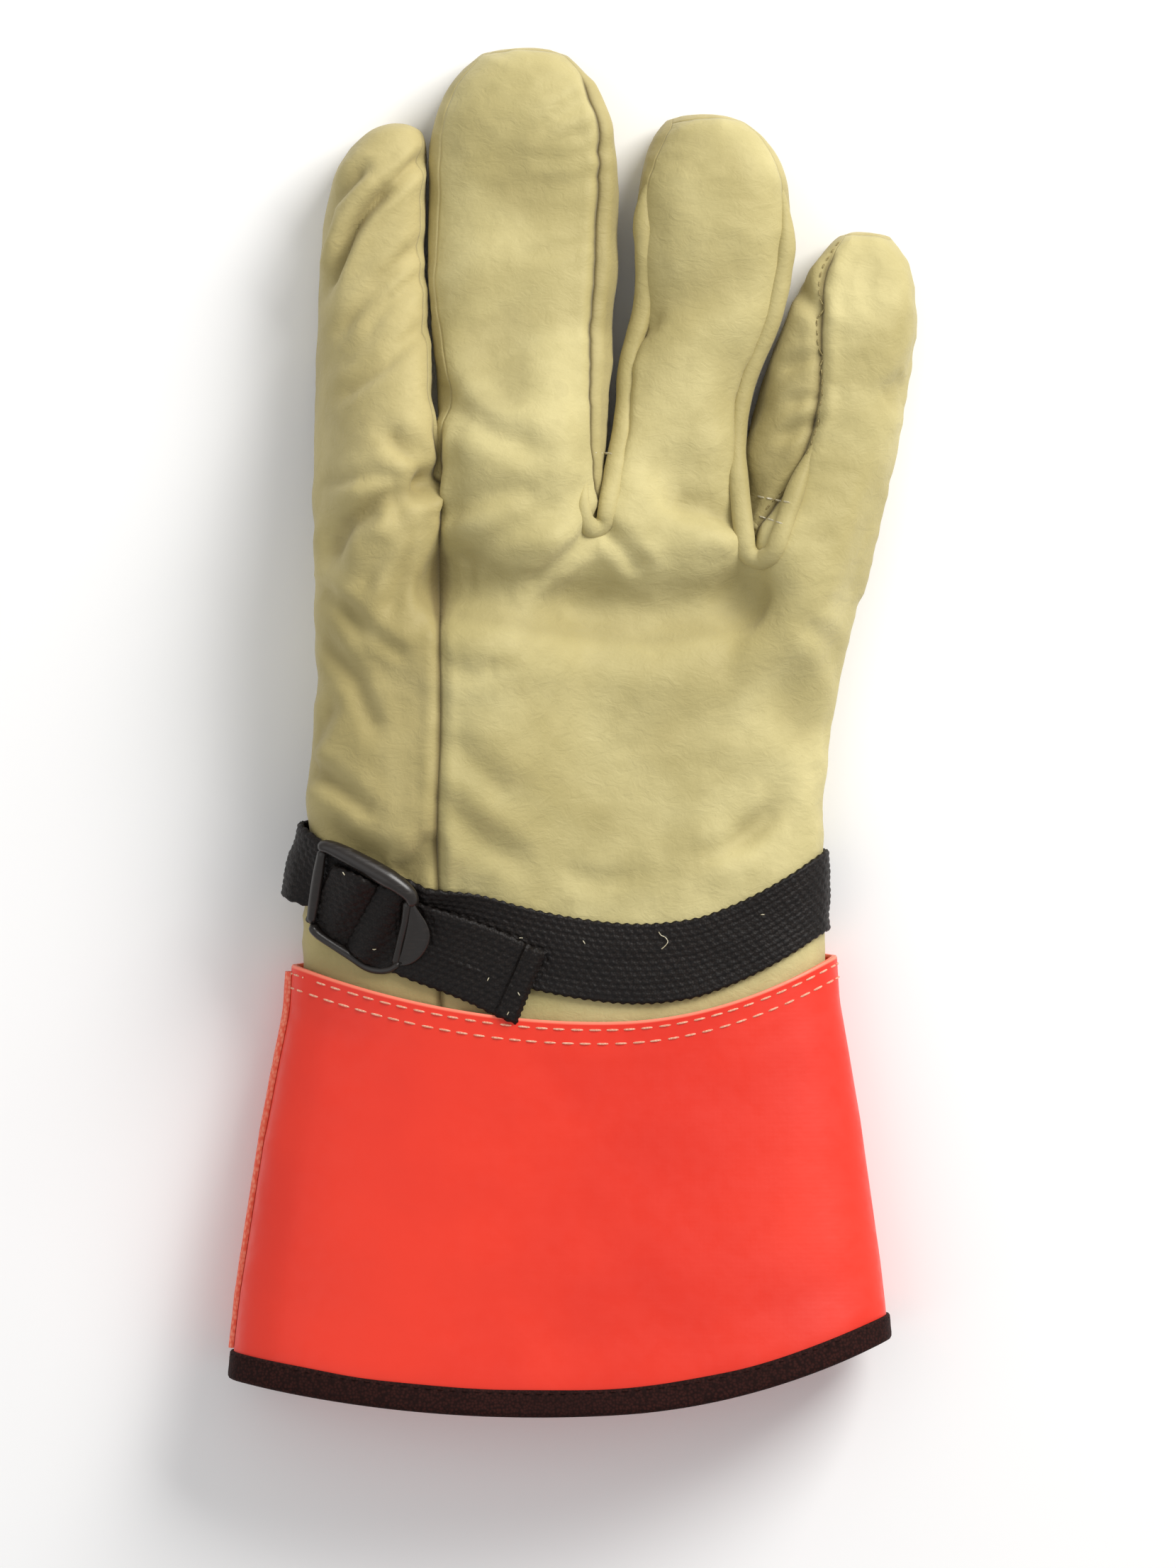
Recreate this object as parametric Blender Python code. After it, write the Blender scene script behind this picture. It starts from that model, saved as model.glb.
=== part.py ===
"""Leather protector glove, right hand, lying palm down with its thumb folded under the palm.

Run with: blender --background --python part.py
Metres, +X towards the little finger, +Y towards the fingertips, +Z up from the surface it lies on.
"""

import math
from collections import namedtuple

import bmesh
import bpy
import numpy as np
from mathutils import Vector
from mathutils.bvhtree import BVHTree

# Leather hand
INDEX_WIDTH = 0.0291
MIDDLE_WIDTH = 0.0388
RING_WIDTH = 0.0406
LITTLE_WIDTH = 0.0268
INDEX_LENGTH = 0.0865
MIDDLE_LENGTH = 0.1095
RING_LENGTH = 0.1010
LITTLE_LENGTH = 0.0755
FINGER_HEIGHT = 0.0235
PALM_LENGTH = 0.1300
PALM_HEIGHT = 0.0250
KNUCKLE_DROP = 0.0160
WRIST_WIDTH = 0.1262
WRIST_HEIGHT = 0.0275
WRIST_BOW = 0.0200
LEATHER = 0.0013
FINGER_SPREAD = 0.0100
FINGER_SPAN = 0.0750

# Thumb, folded under the palm
THUMB_LENGTH = 0.0500
THUMB_WIDTH = 0.0360
THUMB_HEIGHT = 0.0125
THUMB_TURN = math.radians(31.0)
THUMB_FOLD = 0.0026

# Gauntlet cuff
CUFF_LENGTH = 0.0950
CUFF_WALL = 0.0014
HEM_WIDTH = 0.1575
HEM_HEIGHT = 0.0380
HEM_BOW = 0.0135
HEM_SKEW = 0.0095
BINDING_WIDTH = 0.0060
BINDING_WALL = 0.0008
BINDING_ROUND = 0.0006
WELT_WIDTH = 0.0070
WELT_WALL = 0.0010

# Strap and buckle
STRAP_WIDTH = 0.0190
STRAP_WALL = 0.0015
TAIL_LENGTH = 0.0580
TAIL_TURN = math.radians(-28.0)
BUCKLE_LENGTH = 0.0300
BUCKLE_BAR = 0.0027
BUCKLE_WALL = 0.0022
BUCKLE_RAIL = 0.0028

# Clearances
SEAM_GAP = 0.0003
FINGER_GAP = 0.0014
SEAT_GAP = 0.0004
STRAP_GAP = 0.0007

# Mesh steps
FINGER_COLUMNS = 6
SIDE_STEPS = 4
SIDE_POINTS = SIDE_STEPS - 1
TAIL_STEPS = 18
FINGERS = 4
TOP_COLUMNS = FINGERS * FINGER_COLUMNS

# Places in plan that the sizes start from: the leather's lower end, the crotch between the middle
# and ring fingers, and the middle of the wrist and of the hem
PALM_START = 0.0680
MIDDLE_CROTCH = 0.0056
WRIST_MIDDLE = -0.0021
HEM_MIDDLE = -0.0032

# Section shape: how square the back, the underside and the knuckles are, the underside's share of
# the height, how far the panels' outer seams lie in from the sides, where the back's bow is deepest
# and the share of it that the underside takes
PALM_ROUND = 2.6
FLAT_ROUND = 4.0
KNUCKLE_ROUND = 2.2
UNDERSIDE = 0.38
EDGE_INSET = 0.0028
WEB_BULGE = 0.0015
LOW_SEAM = 0.84
BOW_PLACE = 0.18
UNDER_BOW = 0.30

# Fingertips: height left at the tip as a share of the finger's, and the tip's forward bow as a
# share of the width
TIP_HEIGHT = 0.50
TIP_BOW = 0.09

# Where one shape hands over to the next, as shares of the hand's or the finger's length: wrist
# coming down to the surface, knuckles starting to show, finger height and finger root
REST_FROM = 0.34
REST_TO = 0.54
KNUCKLES_FROM = 0.62
HEIGHT_TO = 0.30
ROOT_TO = 0.32

# Hand raised by the thumb: full height this far past the thumb's sides, then falling over a slope
LIFT_MARGIN = 0.0040
LIFT_SLOPE = 0.0300

# Fingers. round_from is where the tip starts to round, as a share of the length, square how square
# the tip is, and tip_shift its sideways shift as a share of the half width
Finger = namedtuple("Finger", "name width length height round_from square tip_shift")
FINGER_TABLE = (
    Finger("index", INDEX_WIDTH, INDEX_LENGTH, 1.04, 0.69, 2.2, 0.55),
    Finger("middle", MIDDLE_WIDTH, MIDDLE_LENGTH, 1.00, 0.74, 2.2, 0.04),
    Finger("ring", RING_WIDTH, RING_LENGTH, 0.96, 0.79, 2.2, -0.32),
    Finger("little", LITTLE_WIDTH, LITTLE_LENGTH, 0.88, 0.68, 3.4, -0.02),
)

# Lines between the fingers' sides. up is a share of FINGER_SPAN over the crotch; sway and opening
# are shares of FINGER_SPREAD. The first and last are the hand's outer sides
Side = namedtuple("Side", "up sway opening")
SIDE_LINES = (
    (Side(0.0, 0.00, 0.0), Side(0.5, 0.06, 0.0), Side(0.85, 0.22, 0.0), Side(1.4, 0.30, 0.0)),
    (Side(0.0, 0.00, 0.0), Side(0.3, -0.04, 0.0), Side(0.6, -0.20, 0.0), Side(0.87, -0.24, 0.0),
     Side(1.4, -0.26, 0.0)),
    (Side(0.0, 0.00, 0.0), Side(0.11, 0.27, 0.06), Side(0.27, 0.36, 0.06), Side(0.42, 0.46, 0.12),
     Side(0.6, 0.58, 0.30), Side(0.78, 0.75, 0.32), Side(1.0, 0.76, 0.30), Side(1.4, 0.80, 0.45)),
    (Side(0.0, 0.00, 0.0), Side(0.10, -0.50, 0.0), Side(0.23, -0.66, 0.0), Side(0.4, -0.52, 0.0),
     Side(0.55, -0.18, 0.0), Side(0.72, 0.30, 0.02), Side(0.80, 0.56, 0.10), Side(0.9, 0.74, 0.24),
     Side(1.0, 0.90, 0.40), Side(1.4, 1.20, 0.9)),
    (Side(0.0, 0.00, 0.0), Side(0.13, 0.16, 0.0), Side(0.31, 0.48, 0.0), Side(0.5, 0.78, 0.0),
     Side(0.62, 0.90, 0.0), Side(0.77, 0.94, 0.0), Side(1.4, 0.94, 0.0)),
)

# Seams along each finger's back, as shares of the half width, at shares of the length
Seam = namedtuple("Seam", "along left right")
SEAM_LINES = (
    (Seam(0.0, 0.80, 0.88), Seam(1.0, 0.80, 0.88)),
    (Seam(0.0, 0.90, 0.62), Seam(0.4, 0.90, 0.72), Seam(0.8, 0.90, 0.84), Seam(1.0, 0.88, 0.88)),
    (Seam(0.0, 0.93, 0.95), Seam(0.8, 0.92, 0.93), Seam(1.0, 0.88, 0.88)),
    (Seam(0.0, 0.10, 0.86), Seam(0.3, 0.04, 0.86), Seam(0.5, 0.10, 0.86), Seam(0.7, 0.40, 0.86),
     Seam(0.85, 0.64, 0.84), Seam(1.0, 0.72, 0.80)),
)

# Rows along each finger, as shares of its length
FINGER_ROWS = (0.10, 0.22, 0.36, 0.50, 0.64, 0.75, 0.84, 0.91, 0.96, 0.983)

# Hand's corners and crotches: web is the height of the web's top as a share of FINGER_HEIGHT,
# drop how far the knuckle line has fallen there as a share of KNUCKLE_DROP
Knuckle = namedtuple("Knuckle", "web drop")
KNUCKLE_LINE = (
    Knuckle(0.64, 0.00),
    Knuckle(0.56, 0.06),
    Knuckle(0.60, 0.54),
    Knuckle(0.72, 1.00),
    Knuckle(0.66, 0.92),
)

# Rows of the hand from the leather's lower end (0) to the knuckle line (1). middle, width and
# height are shares of the way from the wrist to the knuckles, bow is a share of WRIST_BOW
PalmRow = namedtuple("PalmRow", "along middle width height bow")
PALM_ROWS = (
    PalmRow(0.000, 0.02, -0.02, 0.00, 0.64),
    PalmRow(0.085, 0.00, -0.04, 0.00, 0.74),
    PalmRow(0.197, 0.00, -0.20, 0.00, 0.97),
    PalmRow(0.270, 0.00, -0.26, 0.10, 1.00),
    PalmRow(0.343, 0.01, -0.30, 0.20, 0.95),
    PalmRow(0.430, 0.02, -0.32, 0.35, 0.60),
    PalmRow(0.510, 0.15, -0.38, 0.55, 0.30),
    PalmRow(0.590, 0.28, -0.33, 0.75, 0.12),
    PalmRow(0.670, 0.39, -0.20, 0.90, 0.03),
    PalmRow(0.755, 0.49, 0.02, 1.00, 0.00),
    PalmRow(0.840, 0.62, 0.28, 1.00, 0.00),
    PalmRow(0.920, 0.81, 0.62, 1.00, 0.00),
    PalmRow(1.000, 1.00, 1.00, 1.00, 0.00),
)
CUFF_EDGE_ROW = 1
STRAP_ROWS = (2, 3, 4)
THUMB_HOLE_ROWS = (5, 8)
THUMB_HOLE_COLUMNS = (1, 7)

# Where the back seam and the fingers' columns start at the wrist, as shares of its width
WRIST_SPLITS = (0.0, 0.255, 0.51, 0.76, 1.0)

# Rows of the cuff from its upper edge (0) to the hem (1). width, height and bow are shares of the
# way from the wrist's size to the hem's, held is how far the underside is held up at the hem by the
# binding's thickness
CuffRow = namedtuple("CuffRow", "along width height bow held")
CUFF_ROWS = (
    CuffRow(0.00, 0.00, 0.00, 0.00, 0.0),
    CuffRow(0.11, 0.06, 0.02, 0.10, 0.0),
    CuffRow(0.24, 0.24, 0.16, 0.40, 0.0),
    CuffRow(0.42, 0.47, 0.40, 0.70, 0.0),
    CuffRow(0.62, 0.68, 0.68, 0.88, 0.0),
    CuffRow(0.80, 0.86, 0.91, 0.97, 0.0),
    CuffRow(0.92, 0.95, 0.97, 0.99, 1.0),
    CuffRow(1.00, 1.00, 1.00, 1.00, 1.0),
)

# Thumb sections past its fold: travel along it, width and height as shares of its sizes
ThumbRow = namedtuple("ThumbRow", "travel width height")
THUMB_ROWS = (
    ThumbRow(0.20, 1.00, 1.00),
    ThumbRow(0.45, 1.00, 1.00),
    ThumbRow(0.70, 0.96, 1.00),
    ThumbRow(0.86, 0.82, 0.90),
    ThumbRow(0.95, 0.60, 0.70),
    ThumbRow(1.00, 0.38, 0.46),
)

# Width of the thumb's root as a share of THUMB_WIDTH
HOLE_WIDTH = 0.86

# Thumb sections round its fold: angle turned, depth as a share of the way from THUMB_HEIGHT to
# the hole's depth, and how much of the hole's own shape is kept
FoldRow = namedtuple("FoldRow", "turn depth kept")
THUMB_FOLD_ROWS = (
    FoldRow(25.0, 0.60, 0.80),
    FoldRow(48.0, 0.30, 0.50),
    FoldRow(70.0, 0.10, 0.20),
    FoldRow(90.0, 0.00, 0.00),
)

# Broad folds pressed into the back. Ends are shares of the knuckle width across and of the hand's
# reach along; wide and deep are shares of FOLD_WIDTH and FOLD_DEPTH. They fade in from FOLD_FLOOR
# upwards, over FOLD_RISE
FOLD_WIDTH = 0.0070
FOLD_DEPTH = 0.0016
FOLD_FLOOR = 0.0100
FOLD_RISE = 0.0080
Fold = namedtuple("Fold", "name x0 y0 x1 y1 wide deep")
FOLDS = (
    Fold("below the first crotch", -0.33, 0.33, -0.05, 0.20, 1.3, 0.9),
    Fold("below the second crotch", 0.00, 0.36, 0.16, 0.20, 1.3, 0.8),
    Fold("index, upper", -0.46, 0.72, -0.28, 0.88, 0.6, 0.7),
    Fold("index, middle", -0.46, 0.52, -0.28, 0.62, 0.7, 0.8),
    Fold("index side, above the strap", -0.48, -0.02, -0.26, -0.14, 0.8, 0.8),
    Fold("wrist, by the seam", -0.24, -0.10, -0.06, -0.24, 0.8, 0.9),
    Fold("middle finger, joint", -0.24, 0.74, 0.04, 0.70, 0.8, 0.7),
    Fold("ring finger, joint", 0.10, 0.62, 0.36, 0.66, 0.8, 0.7),
    Fold("gusset by the little finger", 0.30, 0.44, 0.40, 0.56, 0.7, 0.7),
)

# Patches across the strap, as shares of its width, in which the surface under the tail's edges and
# middle and under the buckle is looked for
TAIL_PATCHES = (
    (-0.55, -0.40, -0.25, -0.10),
    (-0.30, -0.15, 0.00, 0.15, 0.30),
    (0.10, 0.25, 0.40, 0.55),
)
BUCKLE_PATCH = (-0.65, -0.50, -0.35, -0.20, 0.00, 0.20, 0.35, 0.50, 0.65)
BUCKLE_REACH = 0.15

# Lines across the buckle after its first bar, as shares of half its length: middle bar from the
# second to the third, grip lip from the fifth on. width is a share of the buckle's
BucklePlace = namedtuple("BucklePlace", "along width")
BUCKLE_LINES = (
    BucklePlace(-0.45, 1.00),
    BucklePlace(-0.10, 1.00),
    BucklePlace(0.08, 1.00),
    BucklePlace(0.36, 1.00),
    BucklePlace(0.64, 1.00),
    BucklePlace(0.86, 0.84),
    BucklePlace(1.00, 0.58),
)
BUCKLE_END = 0.94

PANEL_COLORS = {
    "back_panel": (0.62, 0.54, 0.27),
    "palm_panel": (0.58, 0.50, 0.25),
    "fourchette_index_middle": (0.48, 0.40, 0.20),
    "fourchette_middle_ring": (0.50, 0.42, 0.21),
    "fourchette_ring_little": (0.52, 0.44, 0.22),
    "thumb": (0.56, 0.48, 0.24),
}
CUFF_COLOR = (0.90, 0.060, 0.028)
WELT_COLOR = (0.85, 0.30, 0.22)
BINDING_COLOR = (0.035, 0.012, 0.010)
STRAP_COLOR = (0.013, 0.010, 0.008)
BUCKLE_COLOR = (0.022, 0.018, 0.014)


def smooth(value):
    """Ease from 0 to 1."""
    value = min(max(value, 0.0), 1.0)
    return value * value * (3.0 - 2.0 * value)


def read(table, at, column):
    """Value of a table's named column at a place in its first column."""
    places = [row[0] for row in table]
    return float(np.interp(at, places, [getattr(row, column) for row in table]))


def mix(first, second, share):
    return first + (second - first) * share


def arch(across, power):
    """Height of a rounded section, 1 in the middle and 0 at its sides."""
    return max(0.0, 1.0 - abs(across) ** power) ** (1.0 / power)


def leather_rest():
    """Height of the leather's underside at the wrist, above the cuff that passes under it."""
    return CUFF_WALL + SEAT_GAP


def knuckle_edges():
    """X of the hand's left corner, the three crotches and the right corner."""
    first_crotch = MIDDLE_CROTCH - MIDDLE_WIDTH
    last_crotch = MIDDLE_CROTCH + RING_WIDTH
    return [first_crotch - INDEX_WIDTH, first_crotch, MIDDLE_CROTCH, last_crotch, last_crotch + LITTLE_WIDTH]


def knuckle_y(index):
    return PALM_LENGTH - PALM_START - KNUCKLE_LINE[index].drop * KNUCKLE_DROP


def thumb_path():
    """Plan of the thumb: hole's middle, fold, and points and headings along it past the fold."""
    edges = knuckle_edges()
    low, high = [mix(-PALM_START, knuckle_y(0), PALM_ROWS[row].along) for row in THUMB_HOLE_ROWS]
    across = mix(edges[0], edges[1], 0.5 * sum(THUMB_HOLE_COLUMNS) / FINGER_COLUMNS)
    fold = Vector((across, high, 0.0))
    place = fold + Vector((0.0, THUMB_FOLD, 0.0))
    points = []
    before = 0.0
    for row in THUMB_ROWS:
        heading = THUMB_TURN * smooth(row.travel / 0.5)
        forward = Vector((math.sin(heading), math.cos(heading), 0.0))
        place = place + forward * (row.travel - before) * THUMB_LENGTH
        before = row.travel
        points.append((place.copy(), forward))
    return Vector((across, 0.5 * (low + high), 0.0)), fold, points


def lift(x, y):
    """How far the thumb underneath raises the hand above the surface at a place in plan."""
    heel, fold, points = thumb_path()
    route = [heel, fold, points[1][0], points[3][0]]
    spot = Vector((x, y, 0.0))
    distance = 1.0
    for start, end in zip(route, route[1:]):
        run = end - start
        share = min(max((spot - start).dot(run) / run.length_squared, 0.0), 1.0)
        distance = min(distance, (spot - start - run * share).length)
    inner = 0.5 * THUMB_WIDTH + LIFT_MARGIN
    return (THUMB_HEIGHT + THUMB_FOLD) * (1.0 - smooth((distance - inner) / LIFT_SLOPE))


def fold_depth(x, y):
    """Depth of the broad folds at a place on the back."""
    edges = knuckle_edges()
    middle = 0.5 * (edges[0] + edges[-1])
    width = edges[-1] - edges[0]
    reach = PALM_LENGTH - PALM_START + MIDDLE_LENGTH
    depth = 0.0
    for fold in FOLDS:
        start = Vector((middle + fold.x0 * width, fold.y0 * reach))
        end = Vector((middle + fold.x1 * width, fold.y1 * reach))
        run = end - start
        place = Vector((x, y)) - start
        share = min(max(place.dot(run) / run.length_squared, 0.0), 1.0)
        distance = (place - run * share).length
        depth += fold.deep * FOLD_DEPTH * math.exp(-(distance / (fold.wide * FOLD_WIDTH)) ** 2)
    return depth


def side_angles(seam, power):
    """Angle on the rounded section at which a seam at a share of the half width lies."""
    return math.acos(min(0.9999, max(seam, 0.0)) ** (power / 2.0))


def side_points(seam, low_seam, steps):
    """Points down one side from its seam to the lower seam, as shares of half width and heights."""
    start = side_angles(seam, PALM_ROUND)
    end = -side_angles(low_seam, FLAT_ROUND)
    points = []
    for step in range(1, steps):
        angle = mix(start, end, step / steps)
        power = PALM_ROUND if angle >= 0.0 else FLAT_ROUND
        across = math.cos(angle) ** (2.0 / power)
        height = math.copysign(abs(math.sin(angle)) ** (2.0 / power), angle)
        points.append((across, height))
    return points


class Skin:
    """The leather's outer surface: points, and faces named by the panel they belong to."""

    def __init__(self):
        self.points = []
        self.faces = []
        self.set_normals = {}

    def add(self, point, normal=None):
        self.points.append(Vector(point))
        if normal:
            self.set_normals[len(self.points) - 1] = Vector(normal).normalized()
        return len(self.points) - 1

    def bridge(self, first, second, panel_of):
        """Faces between two rings of point numbers."""
        count = len(first)
        for k in range(count):
            after = (k + 1) % count
            panel = panel_of(k)
            if panel:
                self.faces.append(((first[k], first[after], second[after], second[k]), panel))

    def normals(self):
        totals = [Vector((0.0, 0.0, 0.0)) for _ in self.points]
        for corners, _ in self.faces:
            a, b, c, d = [self.points[k] for k in (corners if len(corners) == 4 else corners + corners[-1:])]
            normal = (c - a).cross(d - b)
            for k in corners:
                totals[k] += normal
        return [self.set_normals.get(k, total.normalized()) for k, total in enumerate(totals)]


def palm_section(row):
    """Edges, height, rest height and bow of one row of the hand."""
    edges = knuckle_edges()
    at = PALM_ROWS[row]
    middle = mix(WRIST_MIDDLE, 0.5 * (edges[0] + edges[-1]), at.middle)
    width = mix(WRIST_WIDTH, edges[-1] - edges[0], at.width)
    height = mix(WRIST_HEIGHT, PALM_HEIGHT, at.height)
    rest = leather_rest() * (1.0 - smooth((at.along - REST_FROM) / (REST_TO - REST_FROM)))
    return middle - 0.5 * width, middle + 0.5 * width, height, rest, at.bow * WRIST_BOW


def bowed(y, bow, place, over):
    """Rows at the wrist bow down over the back, and a little up under the palm."""
    side = 1.0 - BOW_PLACE if place > BOW_PLACE else 1.0 + BOW_PLACE
    share = 1.0 - ((place - BOW_PLACE) / side) ** 2
    return y - bow * share if over else y + UNDER_BOW * bow * share


def palm_ring(row, section=None):
    """Points round the hand at one row, or round what takes its place in a given section."""
    left, right, height, rest, bow = section or palm_section(row)
    top = (1.0 - UNDERSIDE) * height
    low = UNDERSIDE * height
    level = rest + low
    half = 0.5 * (right - left)
    middle = 0.5 * (left + right)
    share = PALM_ROWS[row].along
    bump = smooth((share - KNUCKLES_FROM) / (1.0 - KNUCKLES_FROM))
    edges = knuckle_edges()
    width = edges[-1] - edges[0]
    splits = [mix(WRIST_SPLITS[k], (edges[k] - edges[0]) / width, smooth(share)) for k in range(5)]
    ends = [knuckle_y(k) for k in range(5)]

    def row_y(across):
        return mix(-PALM_START, float(np.interp(across, splits, ends)), share)

    tops = []
    lows = []
    for column in range(TOP_COLUMNS + 1):
        finger = min(column // FINGER_COLUMNS, FINGERS - 1)
        within = (column - finger * FINGER_COLUMNS) / FINGER_COLUMNS
        across = mix(splits[finger], splits[finger + 1], within)
        x = mix(left + EDGE_INSET, right - EDGE_INSET, across)
        place = (x - middle) / half
        web = mix(KNUCKLE_LINE[finger].web, KNUCKLE_LINE[finger + 1].web, within)
        web *= FINGER_HEIGHT / PALM_HEIGHT
        knuckle = (mix(web, 1.0, arch(2.0 * within - 1.0, KNUCKLE_ROUND)) - UNDERSIDE) / (1.0 - UNDERSIDE)
        rise = mix(arch(place, PALM_ROUND), knuckle, bump)
        tops.append((x, bowed(row_y(across), bow, place, True), level + top * rise))
        fall = arch(place, FLAT_ROUND)
        lows.append((x, bowed(row_y(across), bow, place, False), level - low * fall))
    rights = []
    lefts = []
    seam = 1.0 - EDGE_INSET / half
    for across, rise in side_points(seam, seam, SIDE_STEPS):
        over = rise > 0.0
        z = level + (top if over else low) * rise
        rights.append((middle + half * across, bowed(row_y(1.0), bow, across, over), z))
        lefts.append((middle - half * across, bowed(row_y(0.0), bow, -across, over), z))
    ring = tops + rights + lows[::-1] + lefts[::-1]
    return [Vector(point) for point in ring]


def raised(point):
    """Point raised over the thumb, with the broad folds pressed into the back."""
    x, y, z = point
    depth = fold_depth(x, y) * smooth((z - FOLD_FLOOR) / FOLD_RISE)
    return Vector((x, y, z + lift(x, y) - depth))


def line_x(line, up, column):
    return read(SIDE_LINES[line], up / FINGER_SPAN, column) * FINGER_SPREAD


def finger_ring(finger, share, gap=FINGER_GAP):
    """Points round one finger at a share of its length."""
    shape = FINGER_TABLE[finger]
    edges = knuckle_edges()
    crotches = (knuckle_y(finger), knuckle_y(finger + 1))
    tip = 0.5 * sum(crotches) + shape.length
    y_left, y_right = [mix(y, tip, share) for y in crotches]
    over_left = y_left - crotches[0]
    over_right = y_right - crotches[1]
    left = edges[finger] + line_x(finger, over_left, "sway")
    right = edges[finger + 1] + line_x(finger + 1, over_right, "sway")
    if finger > 0:
        left += 0.5 * (gap + line_x(finger, over_left, "opening"))
    if finger < FINGERS - 1:
        right -= 0.5 * (gap + line_x(finger + 1, over_right, "opening"))
    rounding = max(0.0, (share - shape.round_from) / (1.0 - shape.round_from))
    narrow = math.sqrt(max(0.0, 1.0 - rounding ** shape.square))
    thin = math.sqrt(max(0.0, 1.0 - rounding ** PALM_ROUND))
    half = 0.5 * (right - left) * narrow
    middle = 0.5 * (left + right) + 0.5 * (right - left) * shape.tip_shift * (1.0 - narrow)
    height = mix(PALM_HEIGHT, FINGER_HEIGHT * shape.height, smooth(share / HEIGHT_TO))
    height *= mix(TIP_HEIGHT, 1.0, thin)
    top = (1.0 - UNDERSIDE) * height
    low = UNDERSIDE * height
    seams = [read(SEAM_LINES[finger], share, side) for side in ("left", "right")]
    bow = TIP_BOW * shape.width * (1.0 - narrow)

    def place(across, rise):
        y = mix(y_left, y_right, 0.5 + 0.5 * across) + bow * (1.0 - across * across)
        return Vector((middle + half * across, y, low + (top if rise > 0.0 else low) * rise))

    tops = []
    lows = []
    for column in range(FINGER_COLUMNS + 1):
        within = column / FINGER_COLUMNS
        across = mix(-seams[0], seams[1], within)
        tops.append(place(across, arch(across, PALM_ROUND)))
        across = mix(-LOW_SEAM, LOW_SEAM, within)
        lows.append(place(across, -arch(across, FLAT_ROUND)))
    rights = [place(a, r) for a, r in side_points(seams[1], LOW_SEAM, SIDE_STEPS)]
    lefts = [place(-a, r) for a, r in side_points(seams[0], LOW_SEAM, SIDE_STEPS)]
    return tops + rights + lows[::-1] + lefts[::-1]


def low_index(column):
    """Place in a hand ring of the underside's point in a column."""
    return TOP_COLUMNS + 1 + SIDE_POINTS + (TOP_COLUMNS - column)


def palm_panel_of(row, k):
    """Panel of the face from point k of a hand ring, between rows row and row + 1."""
    right_side = TOP_COLUMNS
    if k < FINGER_COLUMNS:
        return "palm_panel"
    if k < right_side + SIDE_STEPS // 2:
        return "back_panel"
    column = TOP_COLUMNS - 1 - (k - low_index(TOP_COLUMNS))
    in_columns = THUMB_HOLE_COLUMNS[0] <= column < THUMB_HOLE_COLUMNS[1]
    in_rows = THUMB_HOLE_ROWS[0] <= row < THUMB_HOLE_ROWS[1]
    if in_columns and in_rows:
        return None
    return "palm_panel"


def finger_panel_of(finger, k):
    """Panel of the face from point k of a finger's ring."""
    webs = ("fourchette_index_middle", "fourchette_middle_ring", "fourchette_ring_little")
    if k < FINGER_COLUMNS:
        return "palm_panel" if finger == 0 else "back_panel"
    if k < FINGER_COLUMNS + SIDE_STEPS:
        if finger < FINGERS - 1:
            return webs[finger]
        return "back_panel" if k < FINGER_COLUMNS + SIDE_STEPS // 2 else "palm_panel"
    if k < 2 * FINGER_COLUMNS + SIDE_STEPS:
        return "palm_panel"
    return webs[finger - 1] if finger > 0 else "palm_panel"


def close_tip(skin, ring, columns, sides, panels):
    """Close a finger's last ring across its tip: sides first, then the seam strip."""
    top_panel, right_panel, left_panel = panels
    side = sides - 1
    tops = ring[:columns + 1]
    rights = ring[columns + 1:columns + 1 + side]
    lows = ring[columns + 1 + side:2 * columns + 2 + side][::-1]
    lefts = ring[2 * columns + 2 + side:][::-1]
    for column in range(columns):
        corners = (tops[column], tops[column + 1], lows[column + 1], lows[column])
        skin.faces.append((corners, top_panel))
    for points, ends, panel, turn in (
            (rights, (tops[-1], lows[-1]), right_panel, False),
            (lefts, (tops[0], lows[0]), left_panel, True)):
        fan = [ends[0]] + list(points) + [ends[1]]
        while len(fan) > 3:
            corners = (fan[0], fan[1], fan[-2], fan[-1])
            skin.faces.append((corners[::-1] if turn else corners, panel))
            fan = fan[1:-1]
        if len(fan) == 3:
            corners = tuple(fan)
            skin.faces.append((corners[::-1] if turn else corners, panel))


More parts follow.
